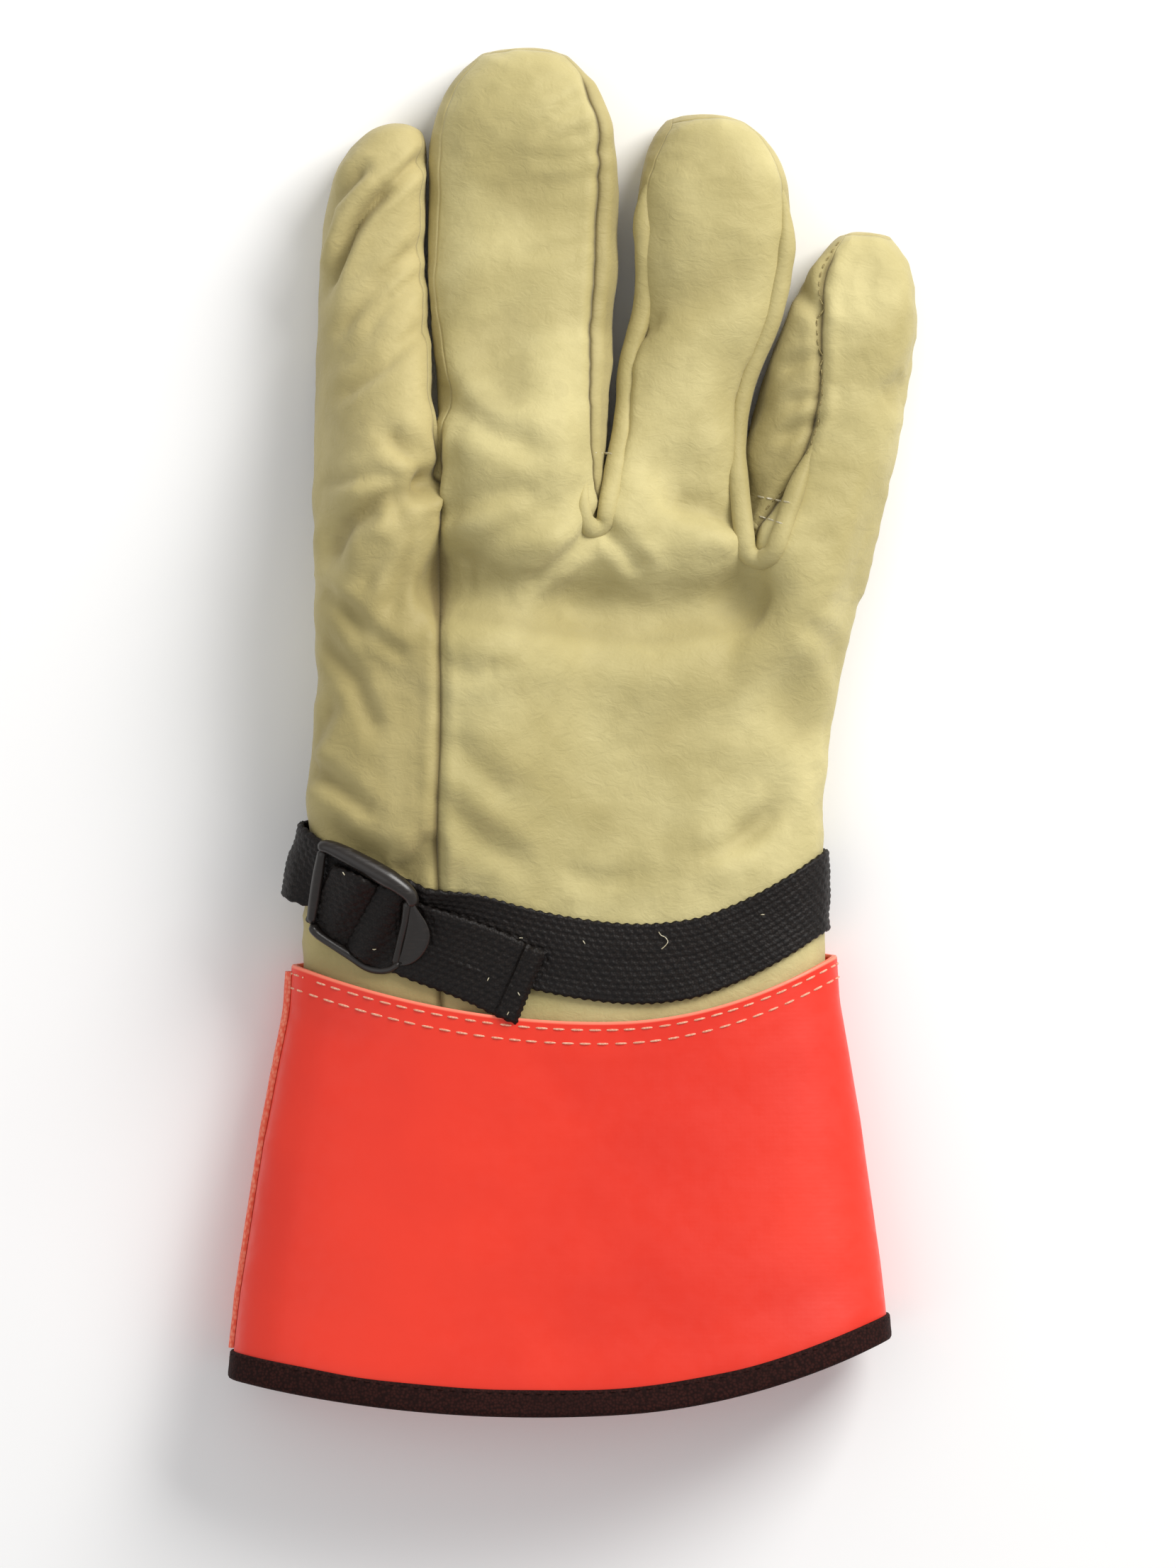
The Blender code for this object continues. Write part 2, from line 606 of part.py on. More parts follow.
def hand_skin():
    """The leather's whole outer surface, with its fingers and thumb."""
    skin = Skin()
    rings = []
    for row in range(len(PALM_ROWS)):
        ring = [skin.add(raised(point)) for point in palm_ring(row)]
        if rings:
            before = len(rings) - 1
            skin.bridge(rings[-1], ring, lambda k, before=before: palm_panel_of(before, k))
        rings.append(ring)
    base = rings[-1]
    webs = []
    for crotch in range(1, FINGERS):
        top = skin.points[base[crotch * FINGER_COLUMNS]]
        low = skin.points[base[low_index(crotch * FINGER_COLUMNS)]]
        up = FINGER_ROWS[0] * MIDDLE_LENGTH
        way = Vector((line_x(crotch, up, "sway"), up, 0.0)).normalized()
        web = []
        for step in range(1, SIDE_STEPS):
            point = top.lerp(low, step / SIDE_STEPS)
            point.y += WEB_BULGE * math.sin(math.pi * step / SIDE_STEPS)
            web.append(skin.add(point, way))
        webs.append(web)
        over = Vector((0.0, 0.0, 1.0))
        skin.set_normals[base[crotch * FINGER_COLUMNS]] = (way + over).normalized()
        skin.set_normals[base[low_index(crotch * FINGER_COLUMNS)]] = (way - over).normalized()
    right_side = base[TOP_COLUMNS + 1:TOP_COLUMNS + 1 + SIDE_POINTS]
    left_side = base[-SIDE_POINTS:]
    for finger in range(FINGERS):
        first = finger * FINGER_COLUMNS
        last = first + FINGER_COLUMNS
        tops = base[first:last + 1]
        rights = webs[finger] if finger < FINGERS - 1 else right_side
        lows = [base[low_index(column)] for column in range(last, first - 1, -1)]
        lefts = webs[finger - 1][::-1] if finger > 0 else left_side
        ring = tops + rights + lows + lefts
        root = [raised(point) for point in finger_ring(finger, 0.0, 0.0)]
        stray = [skin.points[k] - point for k, point in zip(ring, root)]
        for share in FINGER_ROWS:
            fade = 1.0 - smooth(share / ROOT_TO)
            points = finger_ring(finger, share)
            row = [skin.add(raised(p) + s * fade) for p, s in zip(points, stray)]
            skin.bridge(ring, row, lambda k, finger=finger: finger_panel_of(finger, k))
            if share == FINGER_ROWS[0]:
                set_corner_normals(skin, row, finger)
            ring = row
        side_panels = [finger_panel_of(finger, FINGER_COLUMNS), finger_panel_of(finger, len(ring) - 1)]
        if finger == FINGERS - 1:
            side_panels[0] = "palm_panel"
        close_tip(skin, ring, FINGER_COLUMNS, SIDE_STEPS, ["palm_panel"] + side_panels)
    add_thumb(skin, rings)
    return skin


def set_corner_normals(skin, row, finger):
    """Turn the seams' normals in a finger's first row halfway between the finger's faces."""
    up = FINGER_ROWS[0] * MIDDLE_LENGTH
    over = Vector((0.0, 0.0, 1.0))
    ends = []
    if finger < FINGERS - 1:
        ends.append((finger + 1, FINGER_COLUMNS, FINGER_COLUMNS + 1 + SIDE_POINTS, 1.0))
    if finger > 0:
        ends.append((finger, 0, 2 * FINGER_COLUMNS + 1 + SIDE_POINTS, -1.0))
    for crotch, top, low, side in ends:
        sideways = Vector((up, -line_x(crotch, up, "sway"), 0.0)).normalized() * side
        skin.set_normals[row[top]] = (sideways + over).normalized()
        skin.set_normals[row[low]] = (sideways - over).normalized()


def add_thumb(skin, rings):
    """Thumb: a flattened bag that folds out of its hole in the palm and lies under it."""
    low_row, high_row = THUMB_HOLE_ROWS
    first, last = THUMB_HOLE_COLUMNS
    columns = last - first
    sides = high_row - low_row
    ring = [rings[high_row][low_index(c)] for c in range(first, last + 1)]
    ring += [rings[r][low_index(last)] for r in range(high_row - 1, low_row, -1)]
    ring += [rings[low_row][low_index(c)] for c in range(last, first - 1, -1)]
    ring += [rings[r][low_index(first)] for r in range(low_row + 1, high_row)]
    hole = [skin.points[k].copy() for k in ring]
    _, fold, path = thumb_path()
    fold.z = hole[0].z
    deep = (hole[columns // 2] - hole[columns + sides + columns // 2]).length

    def section(pivot, forward, turn, width, height, square):
        """One ring, turned about the fold, with its depth measured from the fold's inside."""
        sideways = Vector((forward.y, -forward.x, 0.0))
        depth_way = forward * -math.cos(turn) + Vector((0.0, 0.0, -math.sin(turn)))
        shares = [(mix(-0.9, 0.9, c / columns), 1.0) for c in range(columns + 1)]
        shares += [(1.0, 1.0 - 2.0 * s / sides) for s in range(1, sides)]
        shares += [(mix(0.9, -0.9, c / columns), -1.0) for c in range(columns + 1)]
        shares += [(-1.0, -1.0 + 2.0 * s / sides) for s in range(1, sides)]
        points = []
        for across, rise in shares:
            crown = rise * mix(arch(across, FLAT_ROUND), 1.0, square) if abs(rise) == 1.0 else rise
            depth = THUMB_FOLD + height * 0.5 * (1.0 - crown)
            points.append(pivot + sideways * (0.5 * width * across) + depth_way * depth)
        return points

    ahead = Vector((0.0, 1.0, 0.0))
    pivot = fold + ahead * THUMB_FOLD
    flat = section(pivot, ahead, 0.0, THUMB_WIDTH * HOLE_WIDTH, deep, 1.0)
    stray = [corner - point for corner, point in zip(hole, flat)]
    for at in THUMB_FOLD_ROWS:
        turn = math.radians(at.turn)
        height = min(mix(THUMB_HEIGHT, deep, at.depth), THUMB_HEIGHT / math.sin(turn))
        width = THUMB_WIDTH * mix(1.0, HOLE_WIDTH, at.kept)
        points = section(pivot, ahead, turn, width, height, at.kept)
        row = [skin.add(point + s * at.kept) for point, s in zip(points, stray)]
        skin.bridge(ring, row, lambda k: "thumb")
        ring = row
    for at, (place, forward) in zip(THUMB_ROWS, path):
        place = Vector((place.x, place.y, fold.z - 0.5 * THUMB_HEIGHT * (1.0 - at.height)))
        width = at.width * THUMB_WIDTH
        points = section(place, forward, 0.5 * math.pi, width, at.height * THUMB_HEIGHT, 0.0)
        row = [skin.add(point) for point in points]
        skin.bridge(ring, row, lambda k: "thumb")
        ring = row
    close_tip(skin, ring, columns, sides, ("thumb", "thumb", "thumb"))


def panel_mesh(skin, normals, panel):
    """One panel as a closed sheet of leather, its edges held back from the seams.

    The rims are split along the same diagonals in neighbouring panels, so that they stay parallel.
    """
    faces = [corners for corners, name in skin.faces if name == panel]
    used = sorted({k for corners in faces for k in corners})
    directed = {}
    for number, corners in enumerate(faces):
        for k, corner in enumerate(corners):
            directed[(corner, corners[(k + 1) % len(corners)])] = number
    border = [edge for edge in directed if (edge[1], edge[0]) not in directed]
    pulls = {}
    for a, b in border:
        corners = faces[directed[(a, b)]]
        centre = sum((skin.points[k] for k in corners), Vector((0.0, 0.0, 0.0))) / len(corners)
        run = (skin.points[b] - skin.points[a]).normalized()
        inward = centre - skin.points[a]
        inward -= run * inward.dot(run)
        for k in (a, b):
            pulls.setdefault(k, []).append(inward.normalized())
    shift = {}
    for k, ways in pulls.items():
        total = sum(ways, Vector((0.0, 0.0, 0.0)))
        reach = max(total.length / len(ways), 0.45)
        shift[k] = total.normalized() * (0.5 * SEAM_GAP / reach)
    mesh = bmesh.new()
    outer = {}
    inner = {}
    for k in used:
        point = skin.points[k] + shift.get(k, Vector((0.0, 0.0, 0.0)))
        outer[k] = mesh.verts.new(point)
        inner[k] = mesh.verts.new(point - normals[k] * LEATHER)
    for corners in faces:
        mesh.faces.new([outer[k] for k in corners])
        mesh.faces.new([inner[k] for k in reversed(corners)])
    for a, b in border:
        if a < b:
            mesh.faces.new((outer[b], outer[a], inner[b]))
            mesh.faces.new((outer[a], inner[a], inner[b]))
        else:
            mesh.faces.new((outer[b], outer[a], inner[a]))
            mesh.faces.new((outer[b], inner[a], inner[b]))
    return mesh


def material(name, color, roughness):
    surface = bpy.data.materials.new(name)
    surface.use_nodes = True
    shader = surface.node_tree.nodes["Principled BSDF"]
    shader.inputs["Base Color"].default_value = (*color, 1.0)
    shader.inputs["Roughness"].default_value = roughness
    shader.inputs["Metallic"].default_value = 0.0
    return surface


def make_object(mesh, name, collection, color, roughness, crease=50.0):
    """An object from a bmesh, shaded smooth apart from its sharp edges."""
    data = bpy.data.meshes.new(name)
    mesh.to_mesh(data)
    mesh.free()
    data.shade_smooth()
    data.set_sharp_from_angle(angle=math.radians(crease))
    part = bpy.data.objects.new(name, data)
    part.data.materials.append(material(name, color, roughness))
    collection.objects.link(part)
    return part


def cuff_section(share):
    """Edges, height, rest height and bow of the cuff's outside at a share of its length."""
    left, right, height, rest, bow = palm_section(CUFF_EDGE_ROW)
    grow = SEAT_GAP + CUFF_WALL
    widen = read(CUFF_ROWS, share, "width")
    width = mix(right - left + 2.0 * grow, HEM_WIDTH, widen)
    middle = mix(0.5 * (left + right), HEM_MIDDLE, widen)
    tall = mix(height + 2.0 * grow, HEM_HEIGHT, read(CUFF_ROWS, share, "height"))
    rest = mix(rest - grow, BINDING_WALL + SEAT_GAP, read(CUFF_ROWS, share, "held"))
    bow = mix(bow, HEM_BOW, read(CUFF_ROWS, share, "bow"))
    return middle - 0.5 * width, middle + 0.5 * width, tall, rest, bow


def cuff_ring(share):
    """Points round the cuff's outside."""
    section = cuff_section(share)
    edge_y = mix(-PALM_START, knuckle_y(0), PALM_ROWS[CUFF_EDGE_ROW].along)
    drop = edge_y + PALM_START - share * CUFF_LENGTH
    ring = palm_ring(0, section)
    for point in ring:
        across = (point.x - section[0]) / (section[1] - section[0])
        point.y += drop + HEM_SKEW * share * across
    return ring


def tube_normals(rings):
    """Outward directions on a grid of rings."""
    count = len(rings[0])
    normals = []
    for r, ring in enumerate(rings):
        before = rings[max(r - 1, 0)]
        after = rings[min(r + 1, len(rings) - 1)]
        row = []
        for k in range(count):
            around = ring[(k + 1) % count] - ring[k - 1]
            along = before[k] - after[k]
            row.append(around.cross(along).normalized())
        normals.append(row)
    return normals


def tube_mesh(rings, normals, profile):
    """A closed band round the wrist or cuff: profile lists (ring, offset outward) in a loop."""
    count = len(rings[0])
    mesh = bmesh.new()
    loops = []
    for ring, offset, slide in profile:
        loop = []
        for k in range(count):
            point = rings[ring][k] + normals[ring][k] * offset
            point.y += slide
            loop.append(mesh.verts.new(point))
        loops.append(loop)
    for j, loop in enumerate(loops):
        following = loops[(j + 1) % len(loops)]
        for k in range(count):
            after = (k + 1) % count
            mesh.faces.new((loop[k], loop[after], following[after], following[k]))
    bmesh.ops.recalc_face_normals(mesh, faces=mesh.faces[:])
    return mesh


def shell_profile(rows, outside, inside):
    """Profile of a plain wall: up the outside rows, then back down the inside."""
    profile = [(row, outside, 0.0) for row in rows]
    profile += [(row, inside, 0.0) for row in reversed(rows)]
    return profile


def build_cuff(collection):
    rings = [cuff_ring(row.along) for row in CUFF_ROWS]
    normals = tube_normals(rings)
    rows = list(range(len(rings)))
    mesh = tube_mesh(rings, normals, shell_profile(rows, 0.0, -CUFF_WALL))
    make_object(mesh, "cuff", collection, CUFF_COLOR, 0.5)
    return rings, normals


def build_binding(collection):
    """Ribbon folded over the hem, a channel in section."""
    share = 1.0 - BINDING_WIDTH / CUFF_LENGTH
    rings = [cuff_ring(share), cuff_ring(1.0)]
    normals = tube_normals(rings)
    near = SEAT_GAP
    far = SEAT_GAP + BINDING_WALL
    back_near = -CUFF_WALL - near
    back_far = -CUFF_WALL - far
    profile = (
        (0, far, 0.0), (1, far, 0.0), (1, far - BINDING_ROUND, -far), (1, back_far + BINDING_ROUND, -far),
        (1, back_far, 0.0), (0, back_far, 0.0), (0, back_near, 0.0), (1, back_near, -near),
        (1, near, -near), (0, near, 0.0),
    )
    mesh = tube_mesh(rings, normals, profile)
    make_object(mesh, "hem_binding", collection, BINDING_COLOR, 0.8)


def build_welt(collection):
    """Strip over the cuff's left side seam, from the upper edge to the binding."""
    end = 1.0 - (BINDING_WIDTH + 2.0 * SEAT_GAP) / CUFF_LENGTH
    shares = [row.along for row in CUFF_ROWS[:-1]] + [end]
    rings = [cuff_ring(share) for share in shares]
    normals = tube_normals(rings)
    count = len(rings[0])
    side = count - 1 - SIDE_POINTS // 2
    mesh = bmesh.new()
    sections = []
    for ring, normal in zip(rings, normals):
        spots = []
        for height in (-0.5, 0.0, 0.5):
            z = ring[side].z + height * WELT_WIDTH
            spots.append(on_ring(ring, normal, side, z))
        outer = [mesh.verts.new(p + n * (SEAT_GAP + WELT_WALL)) for p, n in spots]
        inner = [mesh.verts.new(p + n * SEAT_GAP) for p, n in spots]
        sections.append(outer + inner[::-1])
    close_strip(mesh, sections)
    make_object(mesh, "cuff_side_welt", collection, WELT_COLOR, 0.6)


def on_ring(ring, normal, side, z):
    """Point and outward direction on a ring's left side at a height."""
    count = len(ring)
    for step in range(-SIDE_STEPS, SIDE_STEPS):
        a = (side + step) % count
        b = (side + step + 1) % count
        low, high = ring[a].z, ring[b].z
        if low <= z <= high and high > low:
            share = (z - low) / (high - low)
            return ring[a].lerp(ring[b], share), normal[a].lerp(normal[b], share).normalized()
    return ring[side].copy(), normal[side].copy()


def close_strip(mesh, sections):
    """Faces along a strip of equal closed sections, with both ends capped."""
    count = len(sections[0])
    for first, second in zip(sections, sections[1:]):
        for k in range(count):
            after = (k + 1) % count
            mesh.faces.new((first[k], first[after], second[after], second[k]))
    for section in (sections[0], sections[-1]):
        half = count // 2
        for k in range(half - 1):
            mesh.faces.new((section[k], section[k + 1], section[count - 2 - k], section[count - 1 - k]))
    bmesh.ops.recalc_face_normals(mesh, faces=mesh.faces[:])


def strap_rings():
    """Rings under the strap's lower edge, middle and upper edge, on the leather."""
    low, centre, high = [[raised(point) for point in palm_ring(row)] for row in STRAP_ROWS]
    reach = 0.5 * STRAP_WIDTH
    edges = []
    for ring in (low, high):
        edge = []
        for point, middle in zip(ring, centre):
            way = point - middle
            edge.append(middle + way * min(1.0, reach / way.length))
        edges.append(edge)
    return [edges[0], centre, edges[1]]


def build_strap(collection):
    rings = strap_rings()
    normals = [[-normal for normal in row] for row in tube_normals(rings)]
    mesh = tube_mesh(rings, normals, shell_profile([0, 1, 2], STRAP_GAP + STRAP_WALL, STRAP_GAP))
    make_object(mesh, "wrist_strap", collection, STRAP_COLOR, 0.8)


def surface_tree(parts):
    """One search tree over parts, for laying the tail and buckle on them."""
    points = []
    faces = []
    for part in parts:
        start = len(points)
        points += [vertex.co for vertex in part.data.vertices]
        faces += [[start + k for k in face.vertices] for face in part.data.polygons]
    return BVHTree.FromPolygons(points, faces)


def buckle_frame():
    """Centre of the buckle in plan, its direction along the tail and the way across it."""
    spot = strap_rings()[1][FINGER_COLUMNS // 2]
    along = Vector((math.cos(TAIL_TURN), math.sin(TAIL_TURN), 0.0))
    across = Vector((-along.y, along.x, 0.0))
    return Vector((spot.x, spot.y, 0.0)), along, across


def resting_height(tree, u, across_shares, reach):
    """Highest surface under a patch across the tail, u along it from the buckle's centre."""
    centre, along, across = buckle_frame()
    down = Vector((0.0, 0.0, -1.0))
    best = 0.0
    for du in (-reach, -0.5 * reach, 0.0, 0.5 * reach, reach):
        for v in across_shares:
            spot = centre + along * (u + du) + across * (v * STRAP_WIDTH)
            hit = tree.ray_cast(Vector((spot.x, spot.y, 0.2)), down)[0]
            if hit is not None:
                best = max(best, hit.z)
    return best


def build_tail(collection, tree):
    """Free end of the webbing: through the buckle, then over the strap to its cut end."""
    centre, along, across = buckle_frame()
    start = BUCKLE_BAR - 0.5 * BUCKLE_LENGTH
    places = [start + TAIL_LENGTH * step / TAIL_STEPS for step in range(TAIL_STEPS + 1)]
    reach = TAIL_LENGTH / TAIL_STEPS
    mesh = bmesh.new()
    sections = []
    for u in places:
        outer = []
        inner = []
        for v, patch in zip((-0.5, 0.0, 0.5), TAIL_PATCHES):
            height = resting_height(tree, u, patch, reach) + SEAT_GAP
            spot = centre + along * u + across * (v * STRAP_WIDTH)
            outer.append(mesh.verts.new((spot.x, spot.y, height + STRAP_WALL)))
            inner.append(mesh.verts.new((spot.x, spot.y, height)))
        sections.append(outer + inner[::-1])
    close_strip(mesh, sections)
    return make_object(mesh, "strap_tail", collection, STRAP_COLOR, 0.8)


def build_buckle(collection, tree):
    """Ladder-lock slide: side rails, two bars and a grip lip, as one plate with two slots."""
    centre, along, across = buckle_frame()
    half = 0.5 * BUCKLE_LENGTH
    slot = 0.5 * STRAP_WIDTH + SEAT_GAP
    u_lines = [-half, -half + BUCKLE_BAR] + [line.along * half for line in BUCKLE_LINES]
    v_lines = [-slot - BUCKLE_RAIL, -slot, 0.0, slot, slot + BUCKLE_RAIL]
    slots = {(i, j) for i in (1, 2, 4, 5) for j in (1, 2)}
    widths = [BUCKLE_END, 1.0] + [line.width for line in BUCKLE_LINES]
    mesh = bmesh.new()
    tops = {}
    lows = {}
    for i, u in enumerate(u_lines):
        z = resting_height(tree, u, BUCKLE_PATCH, BUCKLE_REACH * half) + SEAT_GAP
        for j, v in enumerate(v_lines):
            spot = centre + along * u + across * (v * widths[i])
            lows[(i, j)] = mesh.verts.new((spot.x, spot.y, z))
            tops[(i, j)] = mesh.verts.new((spot.x, spot.y, z + BUCKLE_WALL))
    edges = set()
    for i in range(len(u_lines) - 1):
        for j in range(len(v_lines) - 1):
            if (i, j) in slots:
                continue
            loop = [(i, j), (i + 1, j), (i + 1, j + 1), (i, j + 1)]
            mesh.faces.new([tops[corner] for corner in loop])
            mesh.faces.new([lows[corner] for corner in reversed(loop)])
            edges.update((loop[k], loop[(k + 1) % 4]) for k in range(4))
    for a, b in sorted(edges):
        if (b, a) not in edges:
            mesh.faces.new((lows[a], lows[b], tops[b], tops[a]))
    for vertex in [vertex for vertex in mesh.verts if not vertex.link_faces]:
        mesh.verts.remove(vertex)
    bmesh.ops.recalc_face_normals(mesh, faces=mesh.faces[:])
    make_object(mesh, "buckle", collection, BUCKLE_COLOR, 0.35)


def centre_parts(collection):
    """Move every mesh so that the whole stands with its box's bottom centre at the origin."""
    points = [v.co for part in collection.objects for v in part.data.vertices]
    low = [min(p[axis] for p in points) for axis in range(3)]
    high = [max(p[axis] for p in points) for axis in range(3)]
    shift = Vector((-0.5 * (low[0] + high[0]), -0.5 * (low[1] + high[1]), -low[2]))
    for part in collection.objects:
        for vertex in part.data.vertices:
            vertex.co += shift


def main():
    for item in list(bpy.data.objects):
        bpy.data.objects.remove(item, do_unlink=True)
    collection = bpy.data.collections.new("protector_glove")
    bpy.context.scene.collection.children.link(collection)
    skin = hand_skin()
    normals = skin.normals()
    for panel, color in PANEL_COLORS.items():
        make_object(panel_mesh(skin, normals, panel), panel, collection, color, 0.7)
    build_cuff(collection)
    build_binding(collection)
    build_welt(collection)
    build_strap(collection)
    build_tail(collection, surface_tree(collection.objects))
    build_buckle(collection, surface_tree(collection.objects))
    centre_parts(collection)


main()
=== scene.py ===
import math

import bmesh
import bpy
import numpy as np
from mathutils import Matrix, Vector, noise
from mathutils.bvhtree import BVHTree
from mathutils.kdtree import KDTree


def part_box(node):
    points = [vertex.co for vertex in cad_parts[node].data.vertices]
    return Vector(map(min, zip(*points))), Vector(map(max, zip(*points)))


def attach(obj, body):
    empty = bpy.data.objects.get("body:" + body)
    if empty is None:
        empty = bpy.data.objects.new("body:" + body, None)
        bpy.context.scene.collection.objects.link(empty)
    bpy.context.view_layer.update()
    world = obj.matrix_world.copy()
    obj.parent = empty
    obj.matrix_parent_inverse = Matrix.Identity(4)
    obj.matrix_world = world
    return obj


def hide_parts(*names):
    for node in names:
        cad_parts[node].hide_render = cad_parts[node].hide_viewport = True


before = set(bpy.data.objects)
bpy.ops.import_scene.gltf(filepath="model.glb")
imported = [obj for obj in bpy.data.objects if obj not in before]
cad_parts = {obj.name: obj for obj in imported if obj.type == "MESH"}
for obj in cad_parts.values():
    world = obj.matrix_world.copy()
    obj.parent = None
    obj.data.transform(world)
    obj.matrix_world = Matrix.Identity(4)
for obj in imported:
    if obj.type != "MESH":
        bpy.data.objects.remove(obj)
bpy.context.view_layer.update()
print("frame loaded")


# small sums

def ease(value):
    value = min(max(value, 0.0), 1.0)
    return value * value * (3.0 - 2.0 * value)


def easeArray(values):
    values = np.clip(values, 0.0, 1.0)
    return values * values * (3.0 - 2.0 * values)


def between(first, second, share):
    return first + (second - first) * share


def readTable(rows, at, column):
    places = [row[0] for row in rows]
    return float(np.interp(at, places, [row[column] for row in rows]))


def crown(across, power):
    return max(0.0, 1.0 - abs(across) ** power) ** (1.0 / power)


# shader wires: sums and products of wires add Math nodes

class Wire:
    def __init__(self, tree, socket):
        self.tree = tree
        self.socket = socket

    def node(self, kind, settings=None, inputs=None, output=0):
        item = self.tree.nodes.new(kind)
        for name, value in (settings or {}).items():
            if name == "stops":
                fillRamp(item.color_ramp, value)
            else:
                setattr(item, name, value)
        for name, value in (inputs or {}).items():
            if isinstance(value, Wire):
                self.tree.links.new(value.socket, item.inputs[name])
            else:
                item.inputs[name].default_value = value
        return Wire(self.tree, item.outputs[output])

    def maths(self, operation, first, second=0.0):
        return self.node("ShaderNodeMath", {"operation": operation}, {0: first, 1: second})

    def __add__(self, other):
        return self.maths("ADD", self, other)

    def __sub__(self, other):
        return self.maths("SUBTRACT", self, other)

    def __rsub__(self, other):
        return self.maths("SUBTRACT", other, self)

    def __mul__(self, other):
        return self.maths("MULTIPLY", self, other)

    __radd__ = __add__

    def ramp(self, low, high):
        return self.node("ShaderNodeMapRange", {"interpolation_type": "SMOOTHSTEP"},
                         {"Value": self, "From Min": low, "From Max": high})

    def tint(self, first, second, blend="MIX"):
        # this wire is the factor between two colours
        settings = {"data_type": "RGBA", "blend_type": blend}
        return self.node("ShaderNodeMix", settings, {0: self, 6: first, 7: second}, 2)

    def stretch(self, scale, turn=(0.0, 0.0, 0.0)):
        return self.node("ShaderNodeMapping", None, {"Vector": self, "Scale": scale, "Rotation": turn})

    def grain(self, scale, detail=3.0, roughness=0.55, distortion=0.0):
        return self.node("ShaderNodeTexNoise", None, {"Vector": self, "Scale": scale, "Detail": detail,
                                                      "Roughness": roughness, "Distortion": distortion})

    def cells(self, scale, feature="F1", randomness=1.0):
        return self.node("ShaderNodeTexVoronoi", {"feature": feature},
                         {"Vector": self, "Scale": scale, "Randomness": randomness})

    def mark(self, name):
        # a number kept on the mesh's points
        return self.node("ShaderNodeAttribute", {"attribute_name": name}, None, 2)

    def bump(self, strength, distance, under=None):
        inputs = {"Height": self, "Strength": strength, "Distance": distance}
        if under:
            inputs["Normal"] = under
        return self.node("ShaderNodeBump", None, inputs)


def fillRamp(ramp, stops):
    while len(ramp.elements) > 1:
        ramp.elements.remove(ramp.elements[-1])
    ramp.elements[0].position, ramp.elements[0].color = stops[0]
    for place, colour in stops[1:]:
        ramp.elements.new(place).color = colour


def colour(red, green, blue):
    # screen colour, 0 to 255, as a shader colour
    def straight(value):
        value /= 255.0
        return value / 12.92 if value <= 0.04045 else ((value + 0.055) / 1.055) ** 2.4
    return (straight(red), straight(green), straight(blue), 1.0)


def newFinish(name):
    finish = bpy.data.materials.new(name)
    finish.use_nodes = True
    tree = finish.node_tree
    shader = tree.nodes["Principled BSDF"]
    place = tree.nodes.new("ShaderNodeTexCoord")
    return finish, shader, Wire(tree, place.outputs["Object"])


def plug(shader, name, value):
    if isinstance(value, Wire):
        value.tree.links.new(value.socket, shader.inputs[name])
    else:
        shader.inputs[name].default_value = value


# finishes

leatherLook = {
    "light": colour(201, 189, 135),
    "middle": colour(178, 165, 111),
    "green": colour(164, 152, 98),
    # dark tone for the pores and specks, and for the painted shade
    "crease": colour(112, 98, 58),
    "roughness": 0.56,
    "grainSize": 1500.0,
    "wrinkleSize": 210.0,
}


def leatherFinish(name, shade, rotation):
    look = leatherLook
    finish, shader, place = newFinish(name)
    patches = place.grain(22.0, 3.0, 0.5, 0.6).ramp(0.34, 0.66)
    clouds = place.grain(65.0, 4.0, 0.6).ramp(0.30, 0.70)
    tone = patches.tint(look["middle"], look["light"])
    tone = (clouds * 0.42).tint(tone, look["green"])
    # painted shade: the mark kept on the points darkens the leather toward the dark tone in the seam grooves,
    # in the fold valleys, along the left side and towards the wrist end
    hollow = place.mark("hollow")
    tone = (hollow * 0.85).ramp(0.0, 1.0).tint(tone, look["crease"])
    pores = place.cells(430.0).ramp(0.0, 0.16)
    specks = 1.0 - place.grain(160.0, 1.0).ramp(0.70, 0.76)
    tone = ((1.0 - pores) * 0.10).tint(tone, look["crease"])
    tone = ((1.0 - specks) * 0.07).tint(tone, look["crease"])
    # painted shade: each copy of the leather is multiplied by its own shade colour
    tone = place.node("ShaderNodeMix", {"data_type": "RGBA", "blend_type": "MULTIPLY"},
                      {0: 1.0, 6: tone, 7: shade}, 2)
    pebbles = place.cells(look["grainSize"], "SMOOTH_F1")
    lines = place.stretch((1.0, 1.5, 1.2), rotation).grain(look["wrinkleSize"], 5.0, 0.62, 1.4)
    soft = place.grain(95.0, 2.0)
    normal = pebbles.bump(0.22, 0.00018)
    normal = lines.bump(0.30, 0.0009, normal)
    normal = soft.bump(0.30, 0.0016, normal)
    plug(shader, "Base Color", tone)
    plug(shader, "Roughness", look["roughness"] + patches * 0.10 + hollow * 0.12)
    plug(shader, "Normal", normal)
    plug(shader, "Specular IOR Level", 0.30)
    plug(shader, "Sheen Weight", 0.10)
    plug(shader, "Sheen Roughness", 0.6)
    return finish


cuffLook = {
    "face": colour(234, 49, 21),
    "deep": colour(221, 39, 15),
    "pale": colour(250, 132, 104),
    "roughness": 0.42,
}


def cuffFinish():
    look = cuffLook
    finish, shader, place = newFinish("brightCoatedFabric")
    patches = place.grain(14.0, 3.0).ramp(0.30, 0.70)
    tone = patches.tint(look["face"], look["deep"])
    edge = place.mark("cut")
    tone = edge.ramp(0.1, 0.9).tint(tone, look["pale"])
    weave = place.cells(900.0, "F1", 0.35)
    normal = weave.bump(0.10, 0.00012)
    normal = place.grain(60.0, 3.0).bump(0.25, 0.0010, normal)
    plug(shader, "Base Color", tone)
    plug(shader, "Roughness", look["roughness"] + place.grain(240.0).ramp(0.3, 0.8) * 0.16)
    plug(shader, "Normal", normal)
    # painted glow: a faint emission in the face colour brightens the coating beyond what the lamps give it,
    # for its fluorescent look
    plug(shader, "Emission Color", look["face"])
    plug(shader, "Emission Strength", 0.04)
    return finish


